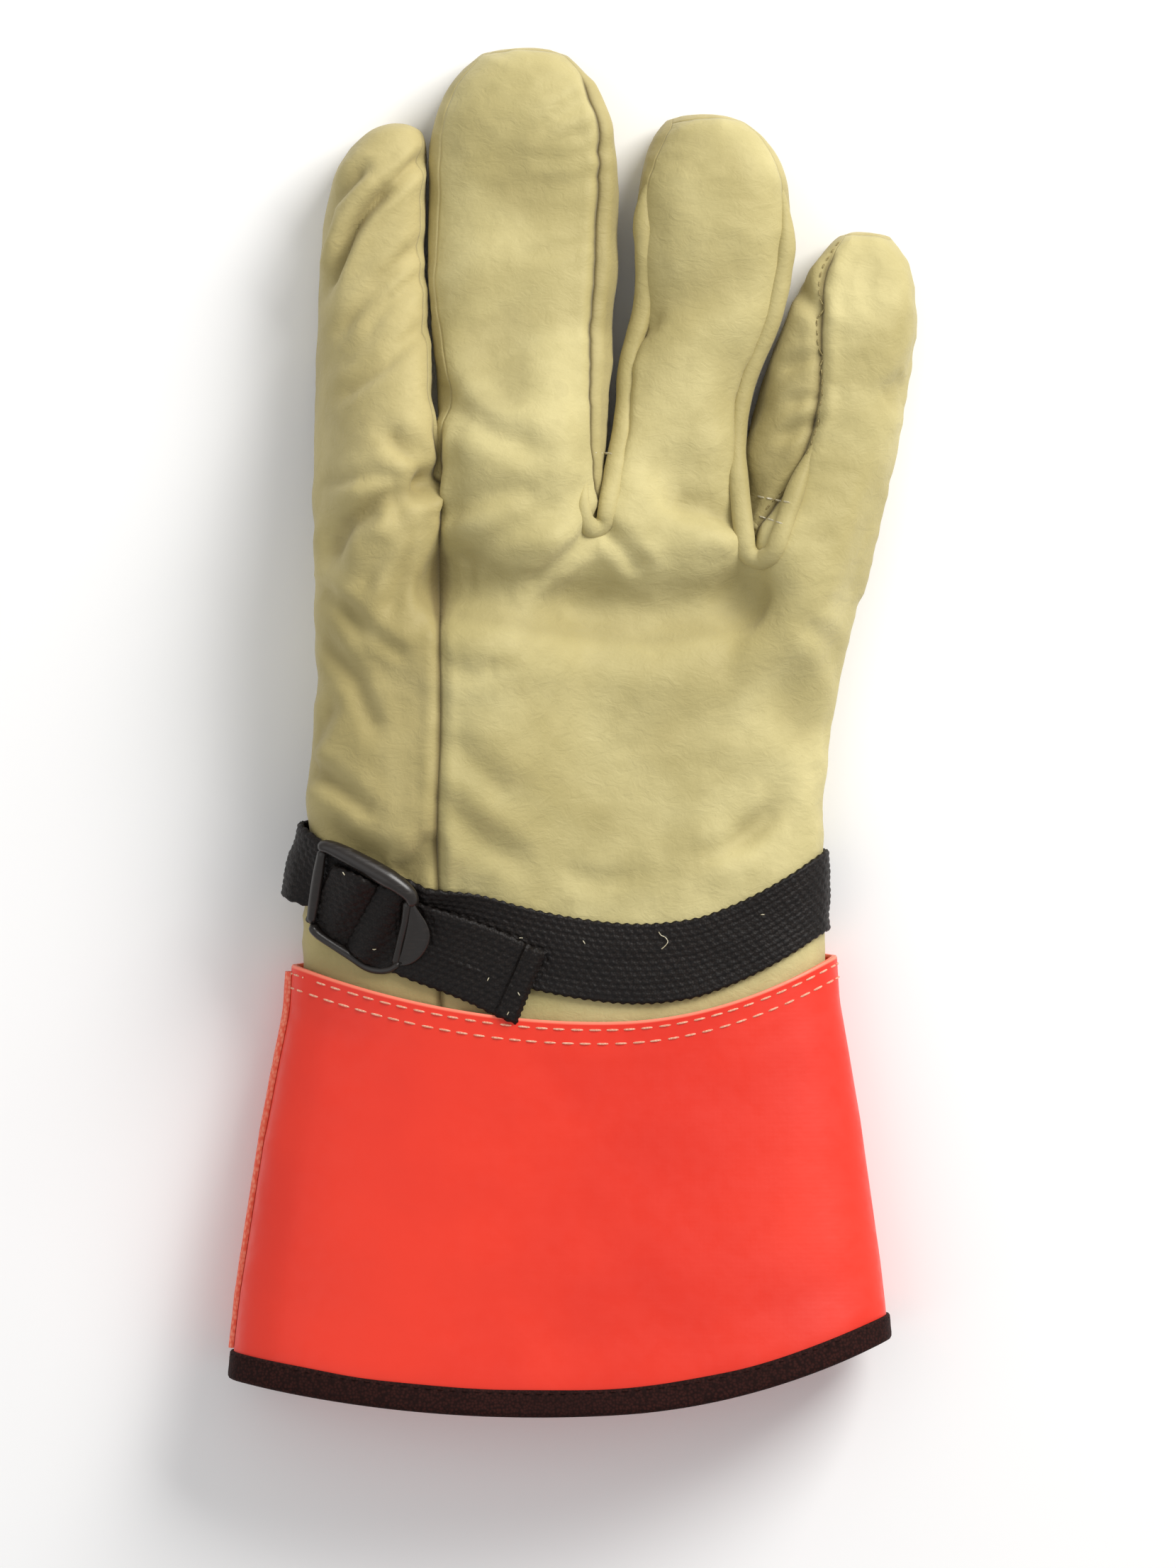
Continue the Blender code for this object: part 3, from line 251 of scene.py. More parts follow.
def clothFinish(name, light, dark, size, roughness, depth=0.0003, gloss=0.3):
    finish, shader, place = newFinish(name)
    threads = place.cells(size, "F1", 0.8)
    fuzz = place.grain(size * 0.6, 4.0, 0.7)
    tone = threads.ramp(0.1, 0.75).tint(light, dark)
    tone = (place.grain(40.0, 2.0).ramp(0.35, 0.7) * 0.35).tint(tone, dark)
    normal = threads.bump(0.35, depth)
    normal = fuzz.bump(0.25, depth, normal)
    plug(shader, "Base Color", tone)
    plug(shader, "Roughness", roughness + fuzz * 0.1)
    plug(shader, "Normal", normal)
    plug(shader, "Specular IOR Level", gloss)
    return finish


def plasticFinish():
    finish, shader, place = newFinish("darkMouldedPlastic")
    scuffs = place.stretch((1.0, 5.0, 1.0)).grain(300.0, 4.0, 0.6).ramp(0.52, 0.72)
    tone = (scuffs * 0.3).tint(colour(34, 29, 26), colour(58, 51, 46))
    plug(shader, "Base Color", tone)
    plug(shader, "Roughness", 0.30 + scuffs * 0.22)
    plug(shader, "Normal", place.grain(700.0, 2.0).bump(0.10, 0.0001))
    return finish


# painted shade: the palm, gusset, thumb and rolled-edge copies of the leather are multiplied darker than the
# back
whiteShade = (1.0, 1.0, 1.0, 1.0)
finishes = {
    "back": leatherFinish("backLeather", whiteShade, (0.0, 0.0, 0.1)),
    "palm": leatherFinish("palmLeather", (0.93, 0.90, 0.86, 1.0), (0.0, 0.0, 0.7)),
    "side": leatherFinish("sideLeather", (0.86, 0.84, 0.80, 1.0), (0.0, 0.0, 0.4)),
    "thumb": leatherFinish("thumbLeather", (0.92, 0.90, 0.86, 1.0), (0.0, 0.0, -0.3)),
    "roll": leatherFinish("rolledLeather", (0.92, 0.91, 0.88, 1.0), (0.0, 0.0, 0.2)),
    "cuff": cuffFinish(),
    "welt": clothFinish("cutFabricEdge", colour(252, 150, 122), colour(236, 92, 66), 900.0, 0.6),
    "ribbon": clothFinish("brownRibbon", colour(56, 26, 22), colour(30, 12, 10), 1400.0, 0.78, 0.0003, 0.14),
    "webbing": clothFinish("blackWebbing", colour(30, 23, 19), colour(12, 8, 7), 1600.0, 0.48, 0.0003, 0.22),
    "buckle": plasticFinish(),
    "cuffThread": clothFinish("creamThread", colour(246, 200, 172), colour(222, 150, 122), 2600.0, 0.7),
    "paleThread": clothFinish("paleThread", colour(226, 220, 200), colour(176, 166, 134), 2600.0, 0.7),
    "leatherThread": clothFinish("leatherThread", colour(176, 162, 112), colour(130, 116, 74), 2600.0, 0.7),
}
print("finishes made")


# leather hand: one outer surface of rings, named by panel, as in the CAD part

hand = {
    "palmStart": 0.0680, "palmLength": 0.1300, "palmHeight": 0.0250, "knuckleDrop": 0.0160,
    "fingerHeight": 0.0235, "middleCrotch": 0.0056, "wristMiddle": -0.0021, "wristWidth": 0.1262,
    "wristHeight": 0.0275, "wristBow": 0.0200, "wristRest": 0.0018, "leather": 0.0013,
    "fingerSpread": 0.0100, "fingerSpan": 0.0750, "fingerGap": 0.0014,
    "palmRound": 2.6, "flatRound": 4.0, "knuckleRound": 2.2, "underside": 0.38, "edgeInset": 0.0028,
    "webBulge": 0.0015, "lowSeam": 0.84, "bowPlace": 0.18, "underBow": 0.30, "tipHeight": 0.44,
    "tipBow": 0.09, "restFrom": 0.34, "restTo": 0.54, "knucklesFrom": 0.62, "heightTo": 0.30,
    "rootTo": 0.32, "liftMargin": 0.0040, "liftSlope": 0.0300, "columns": 6, "sideSteps": 4,
    "thumbLength": 0.0500, "thumbWidth": 0.0360, "thumbHeight": 0.0125, "thumbTurn": 31.0,
    "thumbFold": 0.0026, "holeWidth": 0.86, "holeRows": (5, 8), "holeColumns": (1, 7),
    "wristSplits": (0.0, 0.255, 0.51, 0.76, 1.0), "refine": 3,
}
fingers = [
    {"width": 0.0291, "length": 0.0872, "height": 1.04, "roundFrom": 0.69, "square": 2.2, "tipShift": 0.55},
    {"width": 0.0388, "length": 0.1103, "height": 1.00, "roundFrom": 0.74, "square": 2.2, "tipShift": 0.04},
    {"width": 0.0406, "length": 0.1018, "height": 0.96, "roundFrom": 0.79, "square": 2.2, "tipShift": -0.32},
    {"width": 0.0268, "length": 0.0763, "height": 0.88, "roundFrom": 0.68, "square": 3.4, "tipShift": -0.02},
]
# lines between the fingers: up the finger, sideways sway, opening
sideLines = [
    [(0.0, 0.00, 0.0), (0.5, 0.06, 0.0), (0.85, 0.22, 0.0), (1.4, 0.30, 0.0)],
    [(0.0, 0.00, 0.0), (0.3, -0.04, 0.0), (0.6, -0.20, 0.0), (0.87, -0.24, 0.0), (1.4, -0.26, 0.0)],
    [(0.0, 0.00, 0.0), (0.11, 0.27, 0.06), (0.27, 0.36, 0.06), (0.42, 0.46, 0.12), (0.6, 0.58, 0.30),
     (0.78, 0.75, 0.32), (1.0, 0.76, 0.30), (1.4, 0.80, 0.45)],
    [(0.0, 0.00, 0.0), (0.10, -0.50, 0.0), (0.23, -0.66, 0.0), (0.4, -0.52, 0.0), (0.55, -0.18, 0.0),
     (0.72, 0.30, 0.02), (0.80, 0.56, 0.10), (0.9, 0.74, 0.24), (1.0, 0.90, 0.40), (1.4, 1.20, 0.9)],
    [(0.0, 0.00, 0.0), (0.13, 0.16, 0.0), (0.31, 0.48, 0.0), (0.5, 0.78, 0.0), (0.62, 0.90, 0.0),
     (0.77, 0.94, 0.0), (1.4, 0.94, 0.0)],
]
# seams on the fingers' backs: along the finger, left and right as shares of the half width
seamLines = [
    [(0.0, 0.80, 0.88), (1.0, 0.80, 0.88)],
    [(0.0, 0.90, 0.62), (0.4, 0.90, 0.72), (0.8, 0.90, 0.84), (1.0, 0.88, 0.88)],
    [(0.0, 0.93, 0.95), (0.8, 0.92, 0.93), (1.0, 0.88, 0.88)],
    [(0.0, 0.10, 0.86), (0.3, 0.04, 0.86), (0.5, 0.10, 0.86), (0.7, 0.40, 0.86), (0.85, 0.64, 0.84),
     (1.0, 0.72, 0.80)],
]
fingerRows = (0.11, 0.24, 0.38, 0.52, 0.66, 0.77, 0.86, 0.93, 0.975)
# height of the webs and how far the knuckle line has dropped at the corners and crotches
knuckleLine = [(0.64, 0.00), (0.56, 0.06), (0.60, 0.54), (0.72, 1.00), (0.66, 0.92)]
# rows of the hand: along, middle, width, height, bow
palmRows = [
    (0.000, 0.02, -0.02, 0.00, 0.64), (0.085, 0.00, -0.04, 0.00, 0.74), (0.197, 0.00, -0.20, 0.00, 0.97),
    (0.270, 0.00, -0.26, 0.10, 1.00), (0.343, 0.01, -0.30, 0.20, 0.95), (0.430, 0.02, -0.32, 0.35, 0.60),
    (0.510, 0.15, -0.38, 0.55, 0.30), (0.590, 0.28, -0.33, 0.75, 0.12), (0.670, 0.39, -0.20, 0.90, 0.03),
    (0.755, 0.49, 0.02, 1.00, 0.00), (0.840, 0.62, 0.28, 1.00, 0.00), (0.920, 0.81, 0.62, 1.00, 0.00),
    (1.000, 1.00, 1.00, 1.00, 0.00),
]
# thumb past its fold: travel, width, height; and round its fold: turn, depth, kept
thumbRows = [(0.20, 1.00, 1.00), (0.45, 1.00, 1.00), (0.70, 0.96, 1.00), (0.86, 0.82, 0.90),
             (0.95, 0.60, 0.70), (1.00, 0.38, 0.46)]
thumbFoldRows = [(25.0, 0.60, 0.80), (48.0, 0.30, 0.50), (70.0, 0.10, 0.20), (90.0, 0.00, 0.00)]
panels = ["palm_panel", "back_panel", "fourchette_index_middle", "fourchette_middle_ring",
          "fourchette_ring_little", "thumb"]
topColumns = 4 * hand["columns"]
sidePoints = hand["sideSteps"] - 1


def knuckleEdges():
    first = hand["middleCrotch"] - fingers[1]["width"]
    last = hand["middleCrotch"] + fingers[2]["width"]
    return [first - fingers[0]["width"], first, hand["middleCrotch"], last, last + fingers[3]["width"]]


edges = knuckleEdges()


def knuckleY(index):
    return hand["palmLength"] - hand["palmStart"] - knuckleLine[index][1] * hand["knuckleDrop"]


def thumbPath():
    low, high = [between(-hand["palmStart"], knuckleY(0), palmRows[row][0]) for row in hand["holeRows"]]
    across = between(edges[0], edges[1], 0.5 * sum(hand["holeColumns"]) / hand["columns"])
    fold = Vector((across, high, 0.0))
    place = fold + Vector((0.0, hand["thumbFold"], 0.0))
    points = []
    before = 0.0
    for travel, _, _ in thumbRows:
        heading = math.radians(hand["thumbTurn"]) * ease(travel / 0.5)
        forward = Vector((math.sin(heading), math.cos(heading), 0.0))
        place = place + forward * (travel - before) * hand["thumbLength"]
        before = travel
        points.append((place.copy(), forward))
    return Vector((across, 0.5 * (low + high), 0.0)), fold, points


heelPlace, foldPlace, thumbPoints = thumbPath()
thumbRoute = [heelPlace, foldPlace, thumbPoints[1][0], thumbPoints[3][0]]


def lift(x, y):
    # how far the thumb underneath raises the hand
    spot = Vector((x, y, 0.0))
    distance = 1.0
    for start, end in zip(thumbRoute, thumbRoute[1:]):
        run = end - start
        share = min(max((spot - start).dot(run) / run.length_squared, 0.0), 1.0)
        distance = min(distance, (spot - start - run * share).length)
    inner = 0.5 * hand["thumbWidth"] + hand["liftMargin"]
    return (hand["thumbHeight"] + hand["thumbFold"]) * (1.0 - ease((distance - inner) / hand["liftSlope"]))


def raised(point):
    return Vector((point[0], point[1], point[2] + lift(point[0], point[1])))


def sideAngle(seam, power):
    return math.acos(min(0.9999, max(seam, 0.0)) ** (power / 2.0))


def sideShape(seam, lowSeam):
    start = sideAngle(seam, hand["palmRound"])
    end = -sideAngle(lowSeam, hand["flatRound"])
    points = []
    for step in range(1, hand["sideSteps"]):
        angle = between(start, end, step / hand["sideSteps"])
        power = hand["palmRound"] if angle >= 0.0 else hand["flatRound"]
        across = math.cos(angle) ** (2.0 / power)
        points.append((across, math.copysign(abs(math.sin(angle)) ** (2.0 / power), angle)))
    return points


def palmSection(row):
    along, middleShare, widthShare, heightShare, bow = palmRows[row]
    middle = between(hand["wristMiddle"], 0.5 * (edges[0] + edges[-1]), middleShare)
    width = between(hand["wristWidth"], edges[-1] - edges[0], widthShare)
    height = between(hand["wristHeight"], hand["palmHeight"], heightShare)
    rest = hand["wristRest"] * (1.0 - ease((along - hand["restFrom"]) / (hand["restTo"] - hand["restFrom"])))
    return middle - 0.5 * width, middle + 0.5 * width, height, rest, bow * hand["wristBow"]


def bowed(y, bow, place, over):
    side = 1.0 - hand["bowPlace"] if place > hand["bowPlace"] else 1.0 + hand["bowPlace"]
    share = 1.0 - ((place - hand["bowPlace"]) / side) ** 2
    return y - bow * share if over else y + hand["underBow"] * bow * share


def palmRing(row, section=None):
    left, right, height, rest, bow = section or palmSection(row)
    top = (1.0 - hand["underside"]) * height
    low = hand["underside"] * height
    level = rest + low
    half = 0.5 * (right - left)
    middle = 0.5 * (left + right)
    share = palmRows[row][0]
    bump = ease((share - hand["knucklesFrom"]) / (1.0 - hand["knucklesFrom"]))
    width = edges[-1] - edges[0]
    splits = [between(hand["wristSplits"][k], (edges[k] - edges[0]) / width, ease(share)) for k in range(5)]
    ends = [knuckleY(k) for k in range(5)]

    def rowY(across):
        return between(-hand["palmStart"], float(np.interp(across, splits, ends)), share)

    tops = []
    lows = []
    for column in range(topColumns + 1):
        finger = min(column // hand["columns"], 3)
        within = (column - finger * hand["columns"]) / hand["columns"]
        across = between(splits[finger], splits[finger + 1], within)
        x = between(left + hand["edgeInset"], right - hand["edgeInset"], across)
        place = (x - middle) / half
        web = between(knuckleLine[finger][0], knuckleLine[finger + 1][0], within)
        web *= hand["fingerHeight"] / hand["palmHeight"]
        knuckle = between(web, 1.0, crown(2.0 * within - 1.0, hand["knuckleRound"]))
        knuckle = (knuckle - hand["underside"]) / (1.0 - hand["underside"])
        rise = between(crown(place, hand["palmRound"]), knuckle, bump)
        tops.append((x, bowed(rowY(across), bow, place, True), level + top * rise))
        fallen = level - low * crown(place, hand["flatRound"])
        lows.append((x, bowed(rowY(across), bow, place, False), fallen))
    rights = []
    lefts = []
    seam = 1.0 - hand["edgeInset"] / half
    for across, rise in sideShape(seam, seam):
        over = rise > 0.0
        z = level + (top if over else low) * rise
        rights.append((middle + half * across, bowed(rowY(1.0), bow, across, over), z))
        lefts.append((middle - half * across, bowed(rowY(0.0), bow, -across, over), z))
    return [Vector(point) for point in tops + rights + lows[::-1] + lefts[::-1]]


def lineX(line, up, column):
    return readTable(sideLines[line], up / hand["fingerSpan"], column) * hand["fingerSpread"]


def fingerRing(finger, share, gap):
    shape = fingers[finger]
    crotches = (knuckleY(finger), knuckleY(finger + 1))
    tip = 0.5 * sum(crotches) + shape["length"]
    yLeft, yRight = [between(y, tip, share) for y in crotches]
    overLeft = yLeft - crotches[0]
    overRight = yRight - crotches[1]
    left = edges[finger] + lineX(finger, overLeft, 1)
    right = edges[finger + 1] + lineX(finger + 1, overRight, 1)
    if finger > 0:
        left += 0.5 * (gap + lineX(finger, overLeft, 2))
    if finger < 3:
        right -= 0.5 * (gap + lineX(finger + 1, overRight, 2))
    rounding = max(0.0, (share - shape["roundFrom"]) / (1.0 - shape["roundFrom"]))
    narrow = math.sqrt(max(0.0, 1.0 - rounding ** shape["square"]))
    thin = math.sqrt(max(0.0, 1.0 - rounding ** hand["palmRound"]))
    half = 0.5 * (right - left) * narrow
    middle = 0.5 * (left + right) + 0.5 * (right - left) * shape["tipShift"] * (1.0 - narrow)
    fingerHeight = hand["fingerHeight"] * shape["height"]
    height = between(hand["palmHeight"], fingerHeight, ease(share / hand["heightTo"]))
    height *= between(hand["tipHeight"], 1.0, thin)
    top = (1.0 - hand["underside"]) * height
    low = hand["underside"] * height
    seams = [readTable(seamLines[finger], share, side) for side in (1, 2)]
    bow = hand["tipBow"] * shape["width"] * (1.0 - narrow)

    def place(across, rise):
        y = between(yLeft, yRight, 0.5 + 0.5 * across) + bow * (1.0 - across * across)
        return Vector((middle + half * across, y, low + (top if rise > 0.0 else low) * rise))

    tops = []
    lows = []
    for column in range(hand["columns"] + 1):
        within = column / hand["columns"]
        across = between(-seams[0], seams[1], within)
        tops.append(place(across, crown(across, hand["palmRound"])))
        across = between(-hand["lowSeam"], hand["lowSeam"], within)
        lows.append(place(across, -crown(across, hand["flatRound"])))
    rights = [place(a, r) for a, r in sideShape(seams[1], hand["lowSeam"])]
    lefts = [place(-a, r) for a, r in sideShape(seams[0], hand["lowSeam"])]
    return tops + rights + lows[::-1] + lefts[::-1]


def lowIndex(column):
    return topColumns + 1 + sidePoints + (topColumns - column)


def palmPanelOf(row, k):
    if k < hand["columns"]:
        return "palm_panel"
    if k < topColumns + hand["sideSteps"] // 2:
        return "back_panel"
    column = topColumns - 1 - (k - lowIndex(topColumns))
    inColumns = hand["holeColumns"][0] <= column < hand["holeColumns"][1]
    inRows = hand["holeRows"][0] <= row < hand["holeRows"][1]
    return None if inColumns and inRows else "palm_panel"


def fingerPanelOf(finger, k):
    webs = panels[2:5]
    if k < hand["columns"]:
        return "palm_panel" if finger == 0 else "back_panel"
    if k < hand["columns"] + hand["sideSteps"]:
        if finger < 3:
            return webs[finger]
        return "back_panel" if k < hand["columns"] + hand["sideSteps"] // 2 else "palm_panel"
    if k < 2 * hand["columns"] + hand["sideSteps"]:
        return "palm_panel"
    return webs[finger - 1] if finger > 0 else "palm_panel"


skinPoints = []
skinFaces = []
seamCorners = {}


def addRing(points):
    start = len(skinPoints)
    skinPoints.extend(Vector(point) for point in points)
    return list(range(start, len(skinPoints)))


def bridge(first, second, panelOf):
    for k in range(len(first)):
        after = (k + 1) % len(first)
        if panelOf(k):
            skinFaces.append(((first[k], first[after], second[after], second[k]), panelOf(k)))


def closeTip(ring, columns, sides, topPanel, rightPanel, leftPanel):
    side = sides - 1
    tops = ring[:columns + 1]
    rights = ring[columns + 1:columns + 1 + side]
    lows = ring[columns + 1 + side:2 * columns + 2 + side][::-1]
    lefts = ring[2 * columns + 2 + side:][::-1]
    for column in range(columns):
        skinFaces.append(((tops[column], tops[column + 1], lows[column + 1], lows[column]), topPanel))
    for points, ends, panel, turned in ((rights, (tops[-1], lows[-1]), rightPanel, False),
                                        (lefts, (tops[0], lows[0]), leftPanel, True)):
        fan = [ends[0]] + list(points) + [ends[1]]
        while len(fan) >= 3:
            corners = (fan[0], fan[1], fan[-2], fan[-1]) if len(fan) > 3 else tuple(fan)
            skinFaces.append((corners[::-1] if turned else corners, panel))
            fan = fan[1:-1]


def makeSkin():
    rings = []
    for row in range(len(palmRows)):
        ring = addRing([raised(point) for point in palmRing(row)])
        if rings:
            bridge(rings[-1], ring, lambda k, row=len(rings) - 1: palmPanelOf(row, k))
        rings.append(ring)
    base = rings[-1]
    webs = []
    for crotch in range(1, 4):
        top = skinPoints[base[crotch * hand["columns"]]]
        low = skinPoints[base[lowIndex(crotch * hand["columns"])]]
        web = []
        for step in range(1, hand["sideSteps"]):
            point = top.lerp(low, step / hand["sideSteps"])
            point.y += hand["webBulge"] * math.sin(math.pi * step / hand["sideSteps"])
            web += addRing([point])
        webs.append(web)
    for finger in range(4):
        first = finger * hand["columns"]
        last = first + hand["columns"]
        rights = webs[finger] if finger < 3 else base[topColumns + 1:topColumns + 1 + sidePoints]
        lows = [base[lowIndex(column)] for column in range(last, first - 1, -1)]
        lefts = webs[finger - 1][::-1] if finger > 0 else base[-sidePoints:]
        ring = base[first:last + 1] + rights + lows + lefts
        root = [raised(point) for point in fingerRing(finger, 0.0, 0.0)]
        stray = [skinPoints[k] - point for k, point in zip(ring, root)]
        seamCorners[finger] = ([skinPoints[ring[0]]], [skinPoints[ring[hand["columns"]]]])
        for share in fingerRows:
            fade = 1.0 - ease(share / hand["rootTo"])
            points = fingerRing(finger, share, hand["fingerGap"])
            row = addRing([raised(p) + s * fade for p, s in zip(points, stray)])
            bridge(ring, row, lambda k, finger=finger: fingerPanelOf(finger, k))
            ring = row
            seamCorners[finger][0].append(skinPoints[row[0]])
            seamCorners[finger][1].append(skinPoints[row[hand["columns"]]])
        right = "palm_panel" if finger == 3 else fingerPanelOf(finger, hand["columns"])
        left = fingerPanelOf(finger, len(ring) - 1)
        closeTip(ring, hand["columns"], hand["sideSteps"], "palm_panel", right, left)
    addThumb(rings)
    return rings


def addThumb(rings):
    lowRow, highRow = hand["holeRows"]
    first, last = hand["holeColumns"]
    columns = last - first
    sides = highRow - lowRow
    ring = [rings[highRow][lowIndex(c)] for c in range(first, last + 1)]
    ring += [rings[r][lowIndex(last)] for r in range(highRow - 1, lowRow, -1)]
    ring += [rings[lowRow][lowIndex(c)] for c in range(last, first - 1, -1)]
    ring += [rings[r][lowIndex(first)] for r in range(lowRow + 1, highRow)]
    hole = [skinPoints[k].copy() for k in ring]
    fold = foldPlace.copy()
    fold.z = hole[0].z
    deep = (hole[columns // 2] - hole[columns + sides + columns // 2]).length
    tall = hand["thumbHeight"]

    def section(pivot, forward, turn, width, height, square):
        sideways = Vector((forward.y, -forward.x, 0.0))
        depthWay = forward * -math.cos(turn) + Vector((0.0, 0.0, -math.sin(turn)))
        shares = [(between(-0.9, 0.9, c / columns), 1.0) for c in range(columns + 1)]
        shares += [(1.0, 1.0 - 2.0 * s / sides) for s in range(1, sides)]
        shares += [(between(0.9, -0.9, c / columns), -1.0) for c in range(columns + 1)]
        shares += [(-1.0, -1.0 + 2.0 * s / sides) for s in range(1, sides)]
        points = []
        for across, rise in shares:
            bulge = rise
            if abs(rise) == 1.0:
                bulge = rise * between(crown(across, hand["flatRound"]), 1.0, square)
            depth = hand["thumbFold"] + height * 0.5 * (1.0 - bulge)
            points.append(pivot + sideways * (0.5 * width * across) + depthWay * depth)
        return points

    ahead = Vector((0.0, 1.0, 0.0))
    pivot = fold + ahead * hand["thumbFold"]
    flat = section(pivot, ahead, 0.0, hand["thumbWidth"] * hand["holeWidth"], deep, 1.0)
    stray = [corner - point for corner, point in zip(hole, flat)]
    for degrees, depth, kept in thumbFoldRows:
        turn = math.radians(degrees)
        height = min(between(tall, deep, depth), tall / math.sin(turn))
        width = hand["thumbWidth"] * between(1.0, hand["holeWidth"], kept)
        points = section(pivot, ahead, turn, width, height, kept)
        row = addRing([point + s * kept for point, s in zip(points, stray)])
        bridge(ring, row, lambda k: "thumb")
        ring = row
    for (_, wide, high), (place, forward) in zip(thumbRows, thumbPoints):
        place = Vector((place.x, place.y, fold.z - 0.5 * tall * (1.0 - high)))
        row = addRing(section(place, forward, 0.5 * math.pi, wide * hand["thumbWidth"], high * tall, 0.0))
        bridge(ring, row, lambda k: "thumb")
        ring = row
    closeTip(ring, columns, sides, "thumb", "thumb", "thumb")


handRings = makeSkin()


# cuff's rings, which also give the place of everything in the row's frame

cuff = {
    "length": 0.0950, "wall": 0.0014, "hemWidth": 0.1575, "hemHeight": 0.0380, "hemBow": 0.0135,
    "hemSkew": 0.0095, "hemMiddle": -0.0032, "seatGap": 0.0004, "rows": 44, "around": 240,
    "waveHeight": 0.00055, "waveSize": 0.045, "stitchRows": (0.0019, 0.0051), "stitchPitch": 0.0042,
    "stitchLength": 0.0028, "threadRadius": 0.00025, "cutEdge": 0.0009,
    "liftLeft": 0.0034, "liftRight": 0.0056, "clear": 0.0007,
}
binding = {
    "width": 0.0060, "wall": 0.0008, "wave": 0.00016, "stitchPlace": 0.0052,
    # up from the cuff's end, and out from the cuff's outer face, in mm
    "outline": [(6.0, 0.05), (6.0, 0.55), (5.6, 0.80), (4.2, 0.84), (2.6, 0.80), (1.0, 0.84), (0.0, 0.80),
                (-0.55, 0.45), (-0.80, -0.20), (-0.80, -1.1), (-0.55, -1.85), (0.0, -2.2), (1.5, -2.2),
                (4.0, -2.2), (5.6, -2.2), (5.8, -2.0), (5.8, -1.5), (4.0, -1.45), (0.15, -1.45), (0.12, -0.7),
                (0.15, 0.05), (3.0, 0.05)],
}
# along, width, height, bow, held up by the binding
cuffRows = [
    (0.00, 0.00, 0.00, 0.00, 0.0), (0.11, 0.06, 0.02, 0.10, 0.0), (0.24, 0.24, 0.16, 0.40, 0.0),
    (0.42, 0.47, 0.40, 0.70, 0.0), (0.62, 0.68, 0.68, 0.88, 0.0), (0.80, 0.86, 0.91, 0.97, 0.0),
    (0.92, 0.95, 0.97, 0.99, 1.0), (1.00, 1.00, 1.00, 1.00, 1.0),
]


def cuffRing(share):
    left, right, height, rest, bow = palmSection(1)
    grow = cuff["seatGap"] + cuff["wall"]
    widen = readTable(cuffRows, share, 1)
    width = between(right - left + 2.0 * grow, cuff["hemWidth"], widen)
    middle = between(0.5 * (left + right), cuff["hemMiddle"], widen)
    tall = between(height + 2.0 * grow, cuff["hemHeight"], readTable(cuffRows, share, 2))
    rest = between(rest - grow, binding["wall"] + cuff["seatGap"], readTable(cuffRows, share, 4))
    bow = between(bow, cuff["hemBow"], readTable(cuffRows, share, 3))
    section = (middle - 0.5 * width, middle + 0.5 * width, tall, rest, bow)
    edgeY = between(-hand["palmStart"], knuckleY(0), palmRows[1][0])
    drop = edgeY + hand["palmStart"] - share * cuff["length"]
    ring = palmRing(0, section)
    for point in ring:
        across = (point.x - section[0]) / width
        point.y += drop + cuff["hemSkew"] * share * across
    return ring


plainRings = [cuffRing(row[0]) for row in cuffRows]
lowCorner = [min(point[axis] for ring in plainRings for point in ring) for axis in range(3)]
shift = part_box("cuff")[0] - Vector(lowCorner)
view = {"x": 0.0040, "y": -0.0130, "height": 4.0, "field": 0.3772}
print("shift of the tables to the frame, mm:", [round(1000.0 * value, 2) for value in shift])


# mesh helpers

def addPiece(name, points, faces, finish, nodes=(), marks=None, sharp=55.0):
    mesh = bpy.data.meshes.new(name)
    mesh.from_pydata([tuple(point) for point in points], [], faces)
    for mark, values in (marks or {}).items():
        layer = mesh.attributes.new(mark, "FLOAT", "POINT")
        layer.data.foreach_set("value", np.asarray(values, dtype=np.float32))
    mesh.validate()
    shape = bmesh.new()
    shape.from_mesh(mesh)
    bmesh.ops.recalc_face_normals(shape, faces=shape.faces[:])
    shape.to_mesh(mesh)
    shape.free()
    mesh.shade_smooth()
    mesh.set_sharp_from_angle(angle=math.radians(sharp))
    piece = bpy.data.objects.new(name, mesh)
    bpy.context.scene.collection.objects.link(piece)
    mesh.materials.append(finish)
    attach(piece, "root")
    if nodes:
        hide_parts(*nodes)
    return piece


def treeOf(*pieces):
    points = []
    faces = []
    for piece in pieces:
        start = len(points)
        points += [vertex.co.copy() for vertex in piece.data.vertices]
        faces += [[start + k for k in face.vertices] for face in piece.data.polygons]
    return BVHTree.FromPolygons(points, faces)


def unit(vectors):
    return vectors / np.linalg.norm(vectors, axis=-1, keepdims=True)


def pathSteps(line):
    # length along a line up to each of its points
    return np.concatenate([[0.0], np.cumsum(np.linalg.norm(np.diff(line, axis=0), axis=1))])


def pointAt(places, steps, line):
    # points of a line at one or more lengths along it
    return np.stack([np.interp(places, steps, line[:, axis]) for axis in range(3)], axis=-1)


def curveThrough(points, count, closed=False):
    # evenly spaced points on a smooth curve through the given ones
    source = np.array([tuple(point) for point in points], dtype=float)
    if closed:
        source = np.vstack([source[-1], source, source[0], source[1]])
    else:
        source = np.vstack([2 * source[0] - source[1], source, 2 * source[-1] - source[-2]])
    dense = []
    for k in range(1, len(source) - 2):
        a, b, c, d = source[k - 1:k + 3]
        for t in np.linspace(0.0, 1.0, 9)[:-1]:
            dense.append(0.5 * ((2 * b) + (c - a) * t + (2 * a - 5 * b + 4 * c - d) * t * t
                                + (3 * b - a - 3 * c + d) * t ** 3))
    dense.append(source[-2])
    dense = np.array(dense)
    steps = pathSteps(dense)
    places = np.linspace(0.0, steps[-1], count + 1 if closed else count)
    if closed:
        places = places[:-1]
    return pointAt(places, steps, dense), steps[-1]


